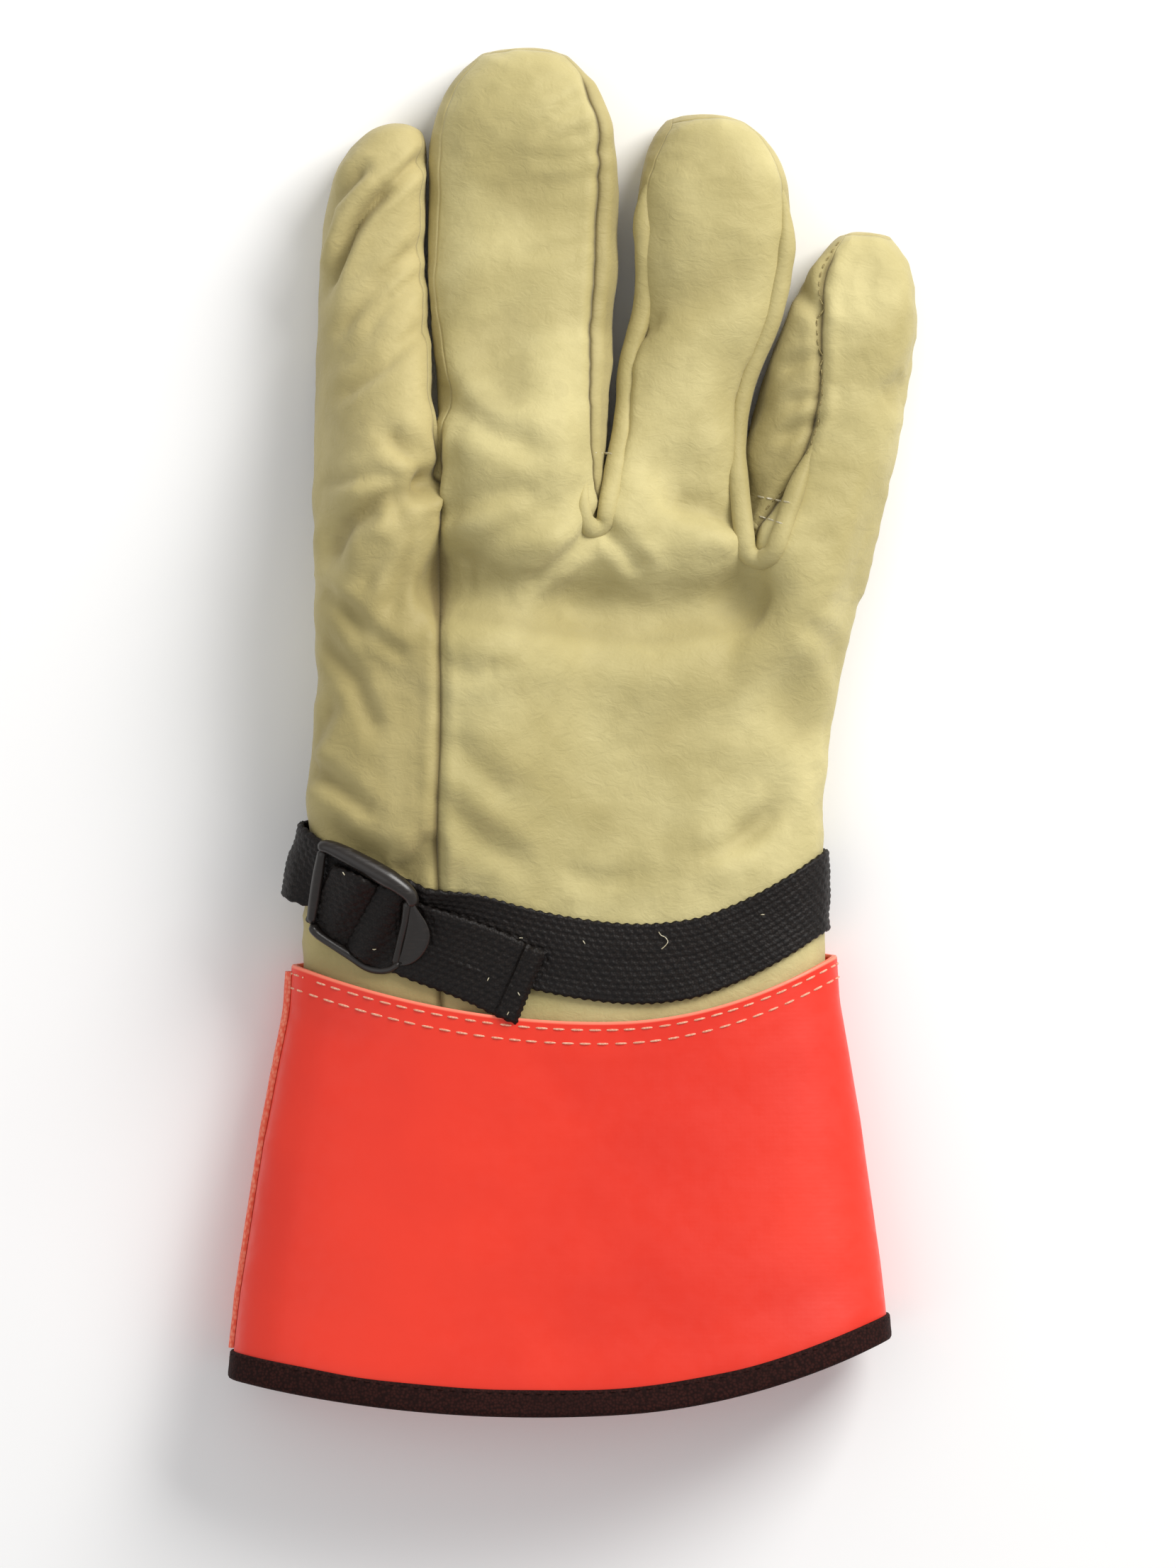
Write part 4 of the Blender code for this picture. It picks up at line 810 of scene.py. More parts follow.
def gridNormals(grid):
    # outward directions of a tube of rings that run from the first to the last
    around = np.roll(grid, -1, axis=1) - np.roll(grid, 1, axis=1)
    along = np.gradient(grid, axis=0)
    normals = unit(np.cross(along, around))
    centre = grid.mean(axis=1, keepdims=True)
    if np.sum((grid - centre) * normals) < 0.0:
        normals = -normals
    return normals


def loopFaces(rows, count, closedRows=True):
    faces = []
    for row in range(rows if closedRows else rows - 1):
        following = (row + 1) % rows
        for k in range(count):
            after = (k + 1) % count
            low, high = row * count, following * count
            faces.append((low + k, low + after, high + after, high + k))
    return faces


def rodFaces(rows, count):
    # rings with a face over each end
    faces = loopFaces(rows, count, False)
    faces.append(tuple(range(count)))
    faces.append(tuple((rows - 1) * count + step for step in reversed(range(count))))
    return faces


def tubeFaces(rows, around):
    # two layers of rings, joined at the first and the last ring
    layer = rows * around
    faces = loopFaces(rows, around, False)
    faces += [tuple(layer + k for k in reversed(face)) for face in faces]
    for row in (0, rows - 1):
        for k in range(around):
            a = row * around + k
            b = row * around + (k + 1) % around
            faces.append((a, b, layer + b, layer + a))
    return faces


def sheetFaces(rows, columns):
    # two layers of an open sheet, joined round its border
    layer = rows * columns
    faces = []
    for row in range(rows - 1):
        for k in range(columns - 1):
            a = row * columns + k
            faces.append((a, a + 1, a + columns + 1, a + columns))
            faces.append((layer + a, layer + a + columns, layer + a + columns + 1, layer + a + 1))
    border = list(range(columns)) + [r * columns + columns - 1 for r in range(1, rows)]
    border += [(rows - 1) * columns + k for k in range(columns - 2, -1, -1)]
    border += [r * columns for r in range(rows - 2, 0, -1)]
    for k in range(len(border)):
        a, b = border[k], border[(k + 1) % len(border)]
        faces.append((a, layer + a, layer + b, b))
    return faces


def smoothWeights(reach):
    # weights of a place and of its neighbours on both sides
    weights = np.hanning(2 * reach + 3)[1:-1]
    return weights / weights.sum()


def smoothRound(lines, reach):
    # closed lines of heights, smoothed along themselves
    weights = smoothWeights(reach)
    return np.array([np.convolve(np.pad(line, reach, mode="wrap"), weights, "valid") for line in lines])


def waves(points, size, seed):
    offset = Vector((seed, 0.37 * seed, 1.7 * seed))
    return np.array([noise.noise(Vector(point) / size + offset) for point in points])


def tube(path, normals, radii, sides=8, flat=1.0):
    # round cord along a path, its section flattened along the normals, closed at both ends
    points = []
    count = len(path)
    for k in range(count):
        ahead = Vector(path[min(k + 1, count - 1)]) - Vector(path[max(k - 1, 0)])
        ahead.normalize()
        up = Vector(normals[k]) - ahead * ahead.dot(Vector(normals[k]))
        up.normalize()
        side = ahead.cross(up)
        for step in range(sides):
            angle = 2.0 * math.pi * step / sides
            points.append(Vector(path[k]) + (side * math.cos(angle) + up * math.sin(angle) * flat) * radii[k])
    return points, rodFaces(count, sides)


def joinParts(parts):
    points = []
    faces = []
    for partPoints, partFaces in parts:
        start = len(points)
        points += partPoints
        faces += [tuple(start + k for k in face) for face in partFaces]
    return points, faces


def stitch(start, end, normal, radius, bulge):
    # one stitch: a thread that comes out of the surface and goes back in
    shares = (0.0, 0.12, 0.30, 0.5, 0.70, 0.88, 1.0)
    path = [start.lerp(end, share) + normal * (bulge * math.sin(math.pi * share) ** 0.6 - 0.4 * radius)
            for share in shares]
    radii = [radius * size for size in (0.45, 0.85, 1.0, 1.0, 1.0, 0.85, 0.45)]
    return tube(path, [normal] * len(shares), radii, 6)


# leather: refined, then folded and gathered, then split into its panels

# folds in the back, in mm on a plan seen from above: depth, width, points along the fold
backFolds = [
    (1.05, 1.7, [(-37.6, 138.6), (-50.4, 124.7), (-60.0, 104.5)]),
    (0.95, 1.3, [(-45.1, 130.0), (-53.1, 120.4), (-57.9, 108.7)]),
    (1.35, 1.6, [(-50.4, 135.3), (-58.4, 126.8), (-61.1, 115.2)]),
    (0.75, 1.8, [(-37.1, 117.3), (-46.2, 107.7), (-55.7, 95.9)]),
    (0.60, 1.7, [(-37.6, 109.2), (-44.1, 103.4), (-49.0, 97.0)]),
    (0.80, 1.8, [(-37.0, 97.0), (-45.0, 88.0), (-56.0, 80.0)]),
    (1.70, 2.6, [(-33.4, 59.8), (-41.9, 57.6), (-54.7, 49.1), (-57.9, 41.6)]),
    (1.30, 2.0, [(-33.9, 58.6), (-40.9, 54.4), (-42.9, 50.1)]),
    (1.20, 2.6, [(-33.4, 60.3), (-38.7, 66.1), (-44.1, 71.4)]),
    (0.60, 1.8, [(-34.0, 60.4), (-44.0, 61.5), (-61.0, 59.8)]),
    (0.70, 2.2, [(-34.5, 56.5), (-44.0, 44.0), (-50.0, 34.0)]),
    (0.90, 2.6, [(-36.0, 50.0), (-41.0, 38.0), (-44.0, 28.0)]),
    (2.40, 10.0, [(-19.5, 90.0), (-17.5, 84.5)]),
    (1.00, 3.2, [(-32.4, 84.2), (-29.1, 77.9), (-18.6, 71.4), (-7.8, 67.1)]),
    (1.10, 11.0, [(-15.0, 131.0), (-11.0, 128.0)]),
    (1.00, 8.0, [(-13.0, 101.0), (-10.0, 99.0)]),
    (0.40, 1.9, [(-7.8, 143.8), (-1.5, 149.3), (2.9, 151.5)]),
    (0.40, 2.0, [(-6.8, 137.0), (0.7, 137.5), (8.2, 139.5)]),
    (0.30, 1.8, [(-4.5, 141.5), (3.9, 144.0)]),
    (0.35, 2.0, [(-7.8, 131.3), (0.7, 131.8), (8.2, 134.3)]),
    (0.40, 1.3, [(-12.1, 114.0), (-3.6, 115.2), (3.9, 117.2)]),
    (0.35, 1.4, [(-27.1, 95.9), (-14.3, 100.2)]),
    (0.70, 3.0, [(-32.4, 50.1), (-20.6, 55.5), (-7.8, 57.6)]),
    (0.90, 3.4, [(-29.1, 40.6), (-16.4, 47.0), (-1.5, 54.4)]),
    (1.00, 2.4, [(5.4, 50.6), (-1.5, 41.6), (-8.5, 34.5)]),
    (0.90, 2.2, [(6.2, 50.6), (12.4, 43.8), (17.0, 38.0)]),
    (3.20, 8.0, [(-30.0, 35.0), (-5.0, 30.5), (20.0, 28.0), (40.0, 31.0)]),
    (1.05, 6.5, [(17.0, 98.5), (26.2, 103.4), (40.0, 107.7)]),
    (0.50, 1.8, [(15.5, 93.9), (19.8, 99.2)]),
    (0.80, 7.5, [(38.5, 90.0), (40.0, 80.0)]),
    (0.90, 9.0, [(25.0, 142.0), (28.0, 141.0)]),
    (0.55, 8.0, [(14.0, 72.0), (22.0, 66.0)]),
    (1.00, 7.0, [(27.0, 58.0), (34.0, 55.0)]),
    (1.20, 3.0, [(41.0, 49.0), (33.0, 53.0), (25.0, 54.5)]),
    (0.90, 2.0, [(56.1, 106.7), (59.3, 99.2)]),
    (0.70, 1.5, [(52.8, 78.9), (59.3, 79.9)]),
    (0.80, 1.6, [(50.8, 70.4), (59.3, 74.6)]),
    (0.70, 1.6, [(51.5, 87.0), (59.0, 90.5)]),
    (0.80, 7.0, [(73.0, 114.0), (73.5, 109.0)]),
    (0.80, 4.0, [(81.0, 83.0), (75.0, 80.0)]),
    (1.00, 2.4, [(-64.0, -8.0), (-56.0, -14.0), (-48.0, -20.6)]),
    (0.80, 2.0, [(-57.8, 5.3), (-63.6, -5.3)]),
    (0.70, 2.2, [(-60.0, 22.0), (-52.0, 12.0), (-47.0, 0.0)]),
    (0.60, 1.8, [(-54.0, 30.0), (-46.0, 22.0), (-40.0, 18.0)]),
    (0.60, 1.8, [(-62.0, 36.0), (-55.0, 30.0), (-50.0, 22.0)]),
    (1.50, 3.2, [(-42.0, -36.0), (-35.5, -31.0), (-33.5, -25.0)]),
    (0.90, 3.0, [(-58.0, -22.0), (-50.0, -28.0), (-44.0, -31.0)]),
    (0.70, 3.6, [(-30.0, -2.0), (-22.0, -9.0), (-15.0, -16.0)]),
    (0.60, 3.0, [(-31.5, 16.0), (-24.0, 14.0), (-18.0, 15.0)]),
    (0.80, 3.4, [(-31.0, -18.0), (-22.0, -26.0), (-10.0, -34.0)]),
    (1.10, 7.5, [(53.0, 8.0), (56.0, 0.0)]),
    (1.10, 6.5, [(44.0, -23.0), (49.0, -16.0)]),
    (0.80, 2.6, [(31.0, -31.0), (40.0, -27.0), (50.0, -19.0)]),
    (0.50, 2.4, [(-2.0, -34.0), (6.0, -36.5), (15.0, -35.0)]),
    (0.60, 2.6, [(56.0, 26.0), (62.0, 20.0), (66.0, 10.0)]),
    (0.50, 2.4, [(58.0, -8.0), (61.0, -20.0)]),
    (0.60, 2.4, [(-20.0, -62.0), (-16.0, -54.0)]),
    (0.60, 2.6, [(20.0, -67.0), (24.0, -61.0)]),
]
# folds in the palm side, in mm in plan
palmFolds = [
    (0.9, 2.2, [(-22.0, 82.0), (-8.0, 83.0), (6.0, 82.0)]),
    (0.8, 2.0, [(-22.0, 112.0), (-10.0, 113.0), (5.0, 112.0)]),
    (0.9, 2.2, [(12.0, 78.0), (26.0, 79.0), (38.0, 77.0)]),
    (0.8, 2.0, [(18.0, 106.0), (32.0, 108.0), (44.0, 106.0)]),
    (0.8, 2.0, [(50.0, 66.0), (62.0, 68.0), (74.0, 66.0)]),
    (0.7, 1.8, [(58.0, 92.0), (68.0, 93.0), (78.0, 91.0)]),
    (0.8, 2.0, [(-58.0, 84.0), (-48.0, 85.0), (-36.0, 83.0)]),
    (0.7, 1.8, [(-58.0, 108.0), (-48.0, 109.0), (-38.0, 108.0)]),
    (1.4, 3.4, [(-14.0, 44.0), (6.0, 34.0), (30.0, 38.0), (52.0, 34.0)]),
    (1.2, 3.2, [(-8.0, 10.0), (8.0, 18.0), (28.0, 16.0), (50.0, 8.0)]),
    (1.2, 3.4, [(-16.0, -14.0), (0.0, -6.0), (18.0, -12.0)]),
    (0.9, 2.8, [(24.0, -26.0), (40.0, -18.0), (56.0, -22.0)]),
]


def strokeField(x, y, strokes):
    # sum of valleys with a low rim on both sides
    total = np.zeros(len(x))
    for deep, wide, points in strokes:
        best = np.full(len(x), 1.0e9)
        share = np.zeros(len(x))
        pieces = len(points) - 1
        for k in range(pieces):
            (x0, y0), (x1, y1) = points[k], points[k + 1]
            runX, runY = x1 - x0, y1 - y0
            part = np.clip(((x - x0) * runX + (y - y0) * runY) / (runX ** 2 + runY ** 2), 0.0, 1.0)
            distance = np.hypot(x - x0 - part * runX, y - y0 - part * runY)
            closer = distance < best
            best = np.where(closer, distance, best)
            share = np.where(closer, (k + part) / pieces, share)
        ends = easeArray(np.minimum(share, 1.0 - share) * 5.0 + 0.45)
        if wide > 4.0:
            ends = 1.0
        rim = 0.32 * np.exp(-((best - 1.9 * wide) / wide) ** 2)
        total -= deep * ends * (np.exp(-(best / wide) ** 2) - rim)
    return total * 0.001 * detail["foldScale"]


detail = {
    "foldScale": 1.75, "closedSeam": 0.92,
    "seamDepth": 0.00085, "seamWidth": 0.0013, "seamShoulder": 0.00040, "pucker": 0.00030,
    "wrinkle": 0.00034, "wrinkleSize": 0.0085, "looseWrinkle": 0.00085, "looseSize": 0.016,
    # the seams are closed over the fingertips: place across, height up the hand, in mm
    "tipStart": [(-48.0, 134.0), (-38.0, 134.0), (-30.0, 153.5), (10.0, 153.5), (16.0, 137.5), (44.0, 137.5),
                 (52.0, 111.5), (86.0, 111.5)],
}


def refineSkin():
    used = sorted({k for corners, _ in skinFaces for k in corners})
    number = {k: place for place, k in enumerate(used)}
    mesh = bpy.data.meshes.new("skin")
    mesh.from_pydata([tuple(skinPoints[k] + shift) for k in used], [],
                     [tuple(number[k] for k in corners) for corners, _ in skinFaces])
    for _ in panels:
        mesh.materials.append(finishes["back"])
    mesh.polygons.foreach_set("material_index", [panels.index(panel) for _, panel in skinFaces])
    skin = bpy.data.objects.new("skin", mesh)
    bpy.context.scene.collection.objects.link(skin)
    refine = skin.modifiers.new("refine", "SUBSURF")
    refine.levels = hand["refine"]
    refine.render_levels = hand["refine"]
    fine = bpy.data.meshes.new_from_object(skin.evaluated_get(bpy.context.evaluated_depsgraph_get()))
    bpy.data.objects.remove(skin)
    return fine


def readMesh(mesh):
    points = np.zeros(len(mesh.vertices) * 3)
    mesh.vertices.foreach_get("co", points)
    normals = np.zeros(len(mesh.vertices) * 3)
    mesh.vertices.foreach_get("normal", normals)
    return points.reshape(-1, 3), normals.reshape(-1, 3)


# index finger's side, widened towards the middle finger: height up the hand, extra width, in mm
indexFill = {
    "widths": [(79.0, 0.0), (84.0, 1.0), (100.0, 0.6), (113.0, 0.4), (128.0, 1.5), (140.0, 2.9)],
    # middle of the gap to the middle finger: height, place across
    "gap": [(84.0, -32.7), (113.0, -34.7), (140.0, -35.5)],
    "from": -0.054, "over": 0.016,
}


def fillBesideMiddle(points):
    heights = points[:, 1] * 1000.0
    edge = np.interp(heights, *zip(*indexFill["gap"])) * 0.001
    reach = np.interp(heights, *zip(*indexFill["widths"])) * 0.001
    index = (points[:, 0] < edge) & (heights > indexFill["widths"][0][0])
    share = easeArray((points[:, 0] - indexFill["from"]) / indexFill["over"])
    points[:, 0] += np.where(index, reach * share, 0.0)


def foldLeather(mesh):
    points, normals = readMesh(mesh)
    owner = [set() for _ in points]
    for polygon in mesh.polygons:
        for k in polygon.vertices:
            owner[k].add(polygon.material_index)
    border = [k for k, names in enumerate(owner) if len(names) > 1]
    tree = KDTree(len(border))
    for place, k in enumerate(border):
        tree.insert(points[k], place)
    tree.balance()
    found = [tree.find(point) for point in points]
    near = np.array([item[2] for item in found])
    seamPlace = np.array([tuple(item[0]) for item in found])
    spread = view["height"] / (view["height"] - points[:, 2])
    planX = (view["x"] + (points[:, 0] - view["x"]) * spread) * 1000.0
    planY = (view["y"] + (points[:, 1] - view["y"]) * spread) * 1000.0
    upward = easeArray((normals[:, 2] + 0.05) / 0.45)
    downward = easeArray((-normals[:, 2] + 0.05) / 0.45)
    folds = strokeField(planX, planY, backFolds) * upward
    below = strokeField(points[:, 0] * 1000.0, points[:, 1] * 1000.0, palmFolds) * downward
    inner = easeArray((-0.022 - points[:, 0]) / 0.003) * easeArray((points[:, 1] - 0.066) / 0.010)
    tips = easeArray((points[:, 0] - 0.008) / 0.004) * easeArray((0.056 - points[:, 0]) / 0.004)
    tips *= easeArray((points[:, 1] - 0.088) / 0.014)
    tipStart = np.interp(points[:, 0] * 1000.0, *zip(*detail["tipStart"])) * 0.001
    ends = easeArray((points[:, 1] - tipStart) / 0.004)
    closed = 1.0 - detail["closedSeam"] * np.maximum(np.maximum(inner, tips), ends)
    seam = -detail["seamDepth"] * closed * np.exp(-(near / detail["seamWidth"]) ** 2)
    seam += detail["seamShoulder"] * closed * np.exp(-((near - 0.0030) / 0.0016) ** 2)
    ripple = waves(seamPlace, 0.0042, 3.0) * np.exp(-(near / 0.0055) ** 2) * (0.4 + 0.6 * closed)
    left = easeArray((-0.030 - points[:, 0]) / 0.006) * easeArray((0.075 - points[:, 1]) / 0.03)
    stretched = points * np.array([1.0, 1.6, 1.0])
    soft = waves(stretched, detail["looseSize"], 8.0) * (0.45 + 0.75 * left)
    fineWaves = 0.5 - np.abs(waves(stretched, detail["wrinkleSize"], 5.0))
    patches = easeArray(waves(points, 0.030, 11.0) * 1.6 + 0.45 + 0.6 * left)
    total = folds + below + seam + detail["pucker"] * 2.0 * ripple
    total += detail["looseWrinkle"] * soft + detail["wrinkle"] * fineWaves * patches * 1.6
    floorRoom = np.clip((points[:, 2] - 0.0002) / 0.002, 0.0, 1.0)
    total = np.where((normals[:, 2] < -0.3) & (total > 0.0), total * floorRoom, total)
    total *= easeArray((points[:, 1] + 0.066) / 0.012) * 0.8 + 0.2
    # painted shade: the leather is darkened towards the wrist end, between the strap and the cuff, and along
    # its left side, away from the key light
    sideAndWristShade = 0.30 * easeArray((-0.050 - points[:, 1]) / 0.008)
    sideAndWristShade = sideAndWristShade + 0.16 * easeArray((-0.030 - points[:, 0]) / 0.01)
    # painted shade: darker in the seam grooves and in the valleys of the folds, added to the painted shade
    # along the sides
    shade = np.exp(-(near / 0.0009) ** 2) * 0.9 * closed
    shade += np.clip(-(folds + below) / 0.0020, 0.0, 1.0) * 0.32 + sideAndWristShade * 0.8
    # the painted shade, kept on the leather's points for its finish
    hollow = np.clip(shade, 0.0, 1.0)
    points = points + normals * total[:, None]
    fillBesideMiddle(points)
    return points, hollow


def splitPanel(mesh, points, hollow, panel, name, finish):
    number = panels.index(panel)
    faces = [tuple(polygon.vertices) for polygon in mesh.polygons if polygon.material_index == number]
    used = sorted({k for face in faces for k in face})
    place = {k: j for j, k in enumerate(used)}
    piece = addPiece(name, points[used], [tuple(place[k] for k in face) for face in faces], finish,
                     (panel,), {"hollow": hollow[used]})
    wall = piece.modifiers.new("wall", "SOLIDIFY")
    wall.thickness = hand["leather"]
    wall.offset = -1.0
    solid = bpy.data.meshes.new_from_object(piece.evaluated_get(bpy.context.evaluated_depsgraph_get()))
    piece.modifiers.clear()
    piece.data = solid
    solid.name = name
    return piece


fineSkin = refineSkin()
skinShape, skinPaintedShade = foldLeather(fineSkin)
leatherPieces = {}
for panel, name, finish, slot in (
        ("palm_panel", "palmLeather", "palm", "palm_leather"),
        ("back_panel", "backLeather", "back", "back_leather"),
        ("fourchette_index_middle", "indexMiddleGusset", "side", "side_leather"),
        ("fourchette_middle_ring", "middleRingGusset", "side", "side_leather"),
        ("fourchette_ring_little", "ringLittleGusset", "side", "side_leather"),
        ("thumb", "thumbLeather", "thumb", "thumb_leather")):
    leatherPieces[name] = splitPanel(fineSkin, skinShape, skinPaintedShade, panel, name, finishes[finish])
leatherTree = treeOf(*leatherPieces.values())
print("leather made:", sum(len(piece.data.polygons) for piece in leatherPieces.values()), "faces")


def toFrame(x, y, z):
    # plan place of something seen at x, y (mm) from straight above and standing at height z
    spread = (view["height"] - z) / view["height"]
    sideways = view["x"] + (0.001 * x - view["x"]) * spread
    return Vector((sideways, view["y"] + (0.001 * y - view["y"]) * spread, z))


def onSurface(x, y, tree, start=0.03):
    place = toFrame(x, y, start)
    normal = Vector((0.0, 0.0, 1.0))
    for _ in range(4):
        hit, facing, _, _ = tree.ray_cast(Vector((place.x, place.y, 0.2)), Vector((0.0, 0.0, -1.0)))
        if hit is None:
            break
        place = toFrame(x, y, hit.z)
        normal = facing
    if normal.z < 0.0:
        normal = -normal
    return place, normal


# cuff of coated cloth, with a pale cut edge and two rows of stitches

cuffShares = [0.0, 0.004, 0.010, 0.017] + [0.03 + 0.97 * k / (cuff["rows"] - 1) for k in range(cuff["rows"])]


def gridSide(ring):
    # outward directions of one closed ring, in its own upright plane
    step = np.roll(ring, -1, axis=0) - np.roll(ring, 1, axis=0)
    side = unit(np.stack([step[:, 2], np.zeros(len(ring)), -step[:, 0]], axis=1))
    if np.sum((ring - ring.mean(axis=0)) * side) < 0.0:
        side = -side
    side[:, 2] = np.maximum(side[:, 2], 0.0)
    return side


def cuffGrid():
    grid = []
    for share in cuffShares:
        ring, _ = curveThrough([point + shift for point in cuffRing(share)], cuff["around"], True)
        across = (ring[:, 0] - ring[:, 0].min()) / np.ptp(ring[:, 0])
        near = (1.0 - share) ** 2
        ring[:, 1] += near * (cuff["liftLeft"] + (cuff["liftRight"] - cuff["liftLeft"]) * across)
        ring += gridSide(ring) * (cuff["clear"] * near)
        grid.append(ring)
    return np.array(grid)


def addCuff():
    grid = cuffGrid()
    normals = gridNormals(grid)
    rows = len(cuffShares)
    around = cuff["around"]
    flat = grid.reshape(-1, 3)
    folds = waves(flat, cuff["waveSize"], 21.0) + 0.4 * waves(flat, 0.35 * cuff["waveSize"], 24.0)
    upward = easeArray((normals[:, :, 2] + 0.1) / 0.5)
    fade = easeArray(np.array(cuffShares) / 0.12)[:, None]
    fade = fade * easeArray((1.0 - np.array(cuffShares)) / 0.1)[:, None]
    press = np.zeros((rows, around))
    for along in cuff["stitchRows"]:
        distance = np.array(cuffShares)[:, None] * cuff["length"] - along
        press -= 0.00012 * np.exp(-(distance / 0.0011) ** 2)
    offset = folds.reshape(rows, around) * cuff["waveHeight"] * upward * fade + press * upward
    outer = grid + normals * offset[:, :, None]
    inner = outer - normals * cuff["wall"]
    rounding = 0.00022
    outer[0] -= normals[0] * rounding
    inner[0] += normals[0] * rounding
    points = np.vstack([outer.reshape(-1, 3), inner.reshape(-1, 3)])
    faces = tubeFaces(rows, around)
    distance = np.array(cuffShares) * cuff["length"]
    cut = 1.0 - np.clip(distance / cuff["cutEdge"], 0.0, 1.0) ** 2
    cut = np.repeat(cut, around)
    piece = addPiece("coatedCuff", points, faces, finishes["cuff"], ("cuff",),
                     {"cut": np.concatenate([cut, np.repeat(np.where(distance < 0.0005, 1.0, 0.0), around)])})
    return piece, outer, normals


def addCuffStitches(outer, normals):
    parts = []
    distance = np.array(cuffShares) * cuff["length"]
    for number, along in enumerate(cuff["stitchRows"]):
        row = np.array([pointAt(along, distance, outer[:, k]) for k in range(cuff["around"])])
        facing = np.array([pointAt(along, distance, normals[:, k]) for k in range(cuff["around"])])
        closed = np.vstack([row, row[:1]])
        steps = pathSteps(closed)
        facing = np.vstack([facing, facing[:1]])
        count = int(steps[-1] / cuff["stitchPitch"])
        pitch = steps[-1] / count
        for k in range(count):
            jitter = noise.noise(Vector((k * 0.7, number * 3.0, 0.5)))
            first = (k + 0.5 * number + 0.06 * jitter) * pitch % steps[-1]
            second = min(first + cuff["stitchLength"] * (1.0 + 0.10 * jitter), steps[-1])
            ends = [Vector(pointAt(place, steps, closed)) for place in (first, second)]
            up = Vector(pointAt(first, steps, facing)).normalized()
            if min(end.z for end in ends) < 0.0016 and up.z < 0.2:
                continue
            parts.append(stitch(ends[0], ends[1], up, cuff["threadRadius"], 0.00028))
    points, faces = joinParts(parts)
    addPiece("cuffStitches", points, faces, finishes["cuffThread"])


cuffPiece, cuffOuter, cuffNormals = addCuff()
addCuffStitches(cuffOuter, cuffNormals)
print("cuff and its stitches made")


# folded strip over the cuff's side seam

welt = {
    "width": 0.0066, "wall": 0.0010, "gap": 0.00012, "across": 12, "bulge": 0.00035, "ends": (0.012, 0.945),
}


def addWelt(outer, normals):
    rows = [k for k, share in enumerate(cuffShares) if welt["ends"][0] <= share <= welt["ends"][1]]
    across = welt["across"]
    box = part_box("cuff_side_welt")
    middleZ = 0.5 * (box[0].z + box[1].z)
    outside = []
    inside = []
    for row in rows:
        ring = outer[row]
        left = ring[:, 0] < ring[:, 0].mean()
        start = int(np.argmin(np.where(left, np.abs(ring[:, 2] - middleZ), 9.0)))
        order = [(start + step) % cuff["around"] for step in range(-20, 21)]
        line = ring[order]
        facing = normals[row][order]
        steps = pathSteps(line)
        centre = steps[20]
        for k in range(across + 1):
            share = 2.0 * k / across - 1.0
            place = centre + 0.5 * welt["width"] * share
            point = Vector(pointAt(place, steps, line))
            up = Vector(pointAt(place, steps, facing)).normalized()
            roundEdge = 1.0 - abs(share) ** 5
            top = welt["gap"] + welt["wall"] * (0.45 + 0.55 * roundEdge)
            top = top + welt["bulge"] * (1.0 - share * share)
            top += 0.00010 * noise.noise(point / 0.004)
            outside.append(point + up * top)
            inside.append(point + up * welt["gap"])
    faces = sheetFaces(len(rows), across + 1)
    addPiece("cuffSideWelt", outside + inside, faces, finishes["welt"], ("cuff_side_welt",))


# ribbon folded over the cuff's lower edge

def addBinding(outer, normals):
    rows = np.array(cuffShares) * cuff["length"]
    length = cuff["length"]
    around = cuff["around"]
    wall = binding["wall"]
    outline = binding["outline"]
    direction = unit(outer[-1] - outer[-4])
    points = []
    for k in range(around):
        wave = binding["wave"] * noise.noise(Vector(outer[-1][k]) / 0.011)
        uneven = 1.0 + 0.05 * noise.noise(Vector(outer[-1][k]) / 0.02 + Vector((5.0, 0.0, 0.0)))
        for up, out in outline:
            up = 0.001 * up * (binding["width"] / 0.006) * (uneven if up > 1.5 else 1.0)
            out = 0.001 * out * (wall / 0.0008 if out > 0.0 else 1.0)
            if up > 0.0:
                base = pointAt(length - up, rows, outer[:, k])
            else:
                base = outer[-1][k] - direction[k] * up
            if out > 0.1 * 0.001 and up > 0.0003:
                out += wave
            points.append(base + normals[-1][k] * out)
    count = len(outline)
    faces = loopFaces(around, count, True)
    points = np.array(points)
    points[:, 2] = np.maximum(points[:, 2], 0.00005)
    addPiece("hemRibbon", points, faces, finishes["ribbon"], ("hem_binding",), sharp=70.0)
    parts = []
    for k in range(0, around, 2):
        first = outer[-1][k]
        spot = length - binding["stitchPlace"]
        base = pointAt(spot, rows, outer[:, k])
        after = pointAt(spot, rows, outer[:, (k + 1) % around])
        up = Vector(normals[-1][k])
        if first[2] < 0.003 or up.z < 0.1:
            continue
        lift = up * (wall + 0.00008)
        parts.append(stitch(Vector(base) + lift, Vector(after) + lift, up, 0.00016, 0.00012))
    points, faces = joinParts(parts)
    addPiece("hemStitches", points, faces, finishes["ribbon"])


addWelt(cuffOuter, cuffNormals)
addBinding(cuffOuter, cuffNormals)
print("welt and hem ribbon made")


# webbing strap round the wrist

strap = {
    "width": 0.0190, "wall": 0.0015, "gap": 0.00035, "around": 760, "across": 54, "weave": 0.00016,
    "weaveLength": 0.00230, "weaveWidth": 0.00150, "bulgeUpper": 0.0012, "bulgeLower": 0.0046, "smooth": 17,
    "raiseLeft": 0.0054, "raiseRight": 0.0012,
}


def weave(along, across, width):
    # rounded knuckles of thread in rows, each row shifted by half a knuckle, as heights from -1 to 1
    row = np.floor(across / strap["weaveWidth"] + 0.5)
    beside = across / strap["weaveWidth"] - row
    beyond = along / strap["weaveLength"] + 0.5 * np.mod(row, 2.0)
    beyond = beyond - np.floor(beyond + 0.5)
    knuckle = np.sqrt(np.cos(np.pi * beside)) * np.sqrt(np.clip(np.cos(np.pi * beyond), 0.0, 1.0))
    edge = easeArray((0.5 * width - np.abs(across)) / 0.0008)
    return (2.0 * knuckle - 1.0) * edge


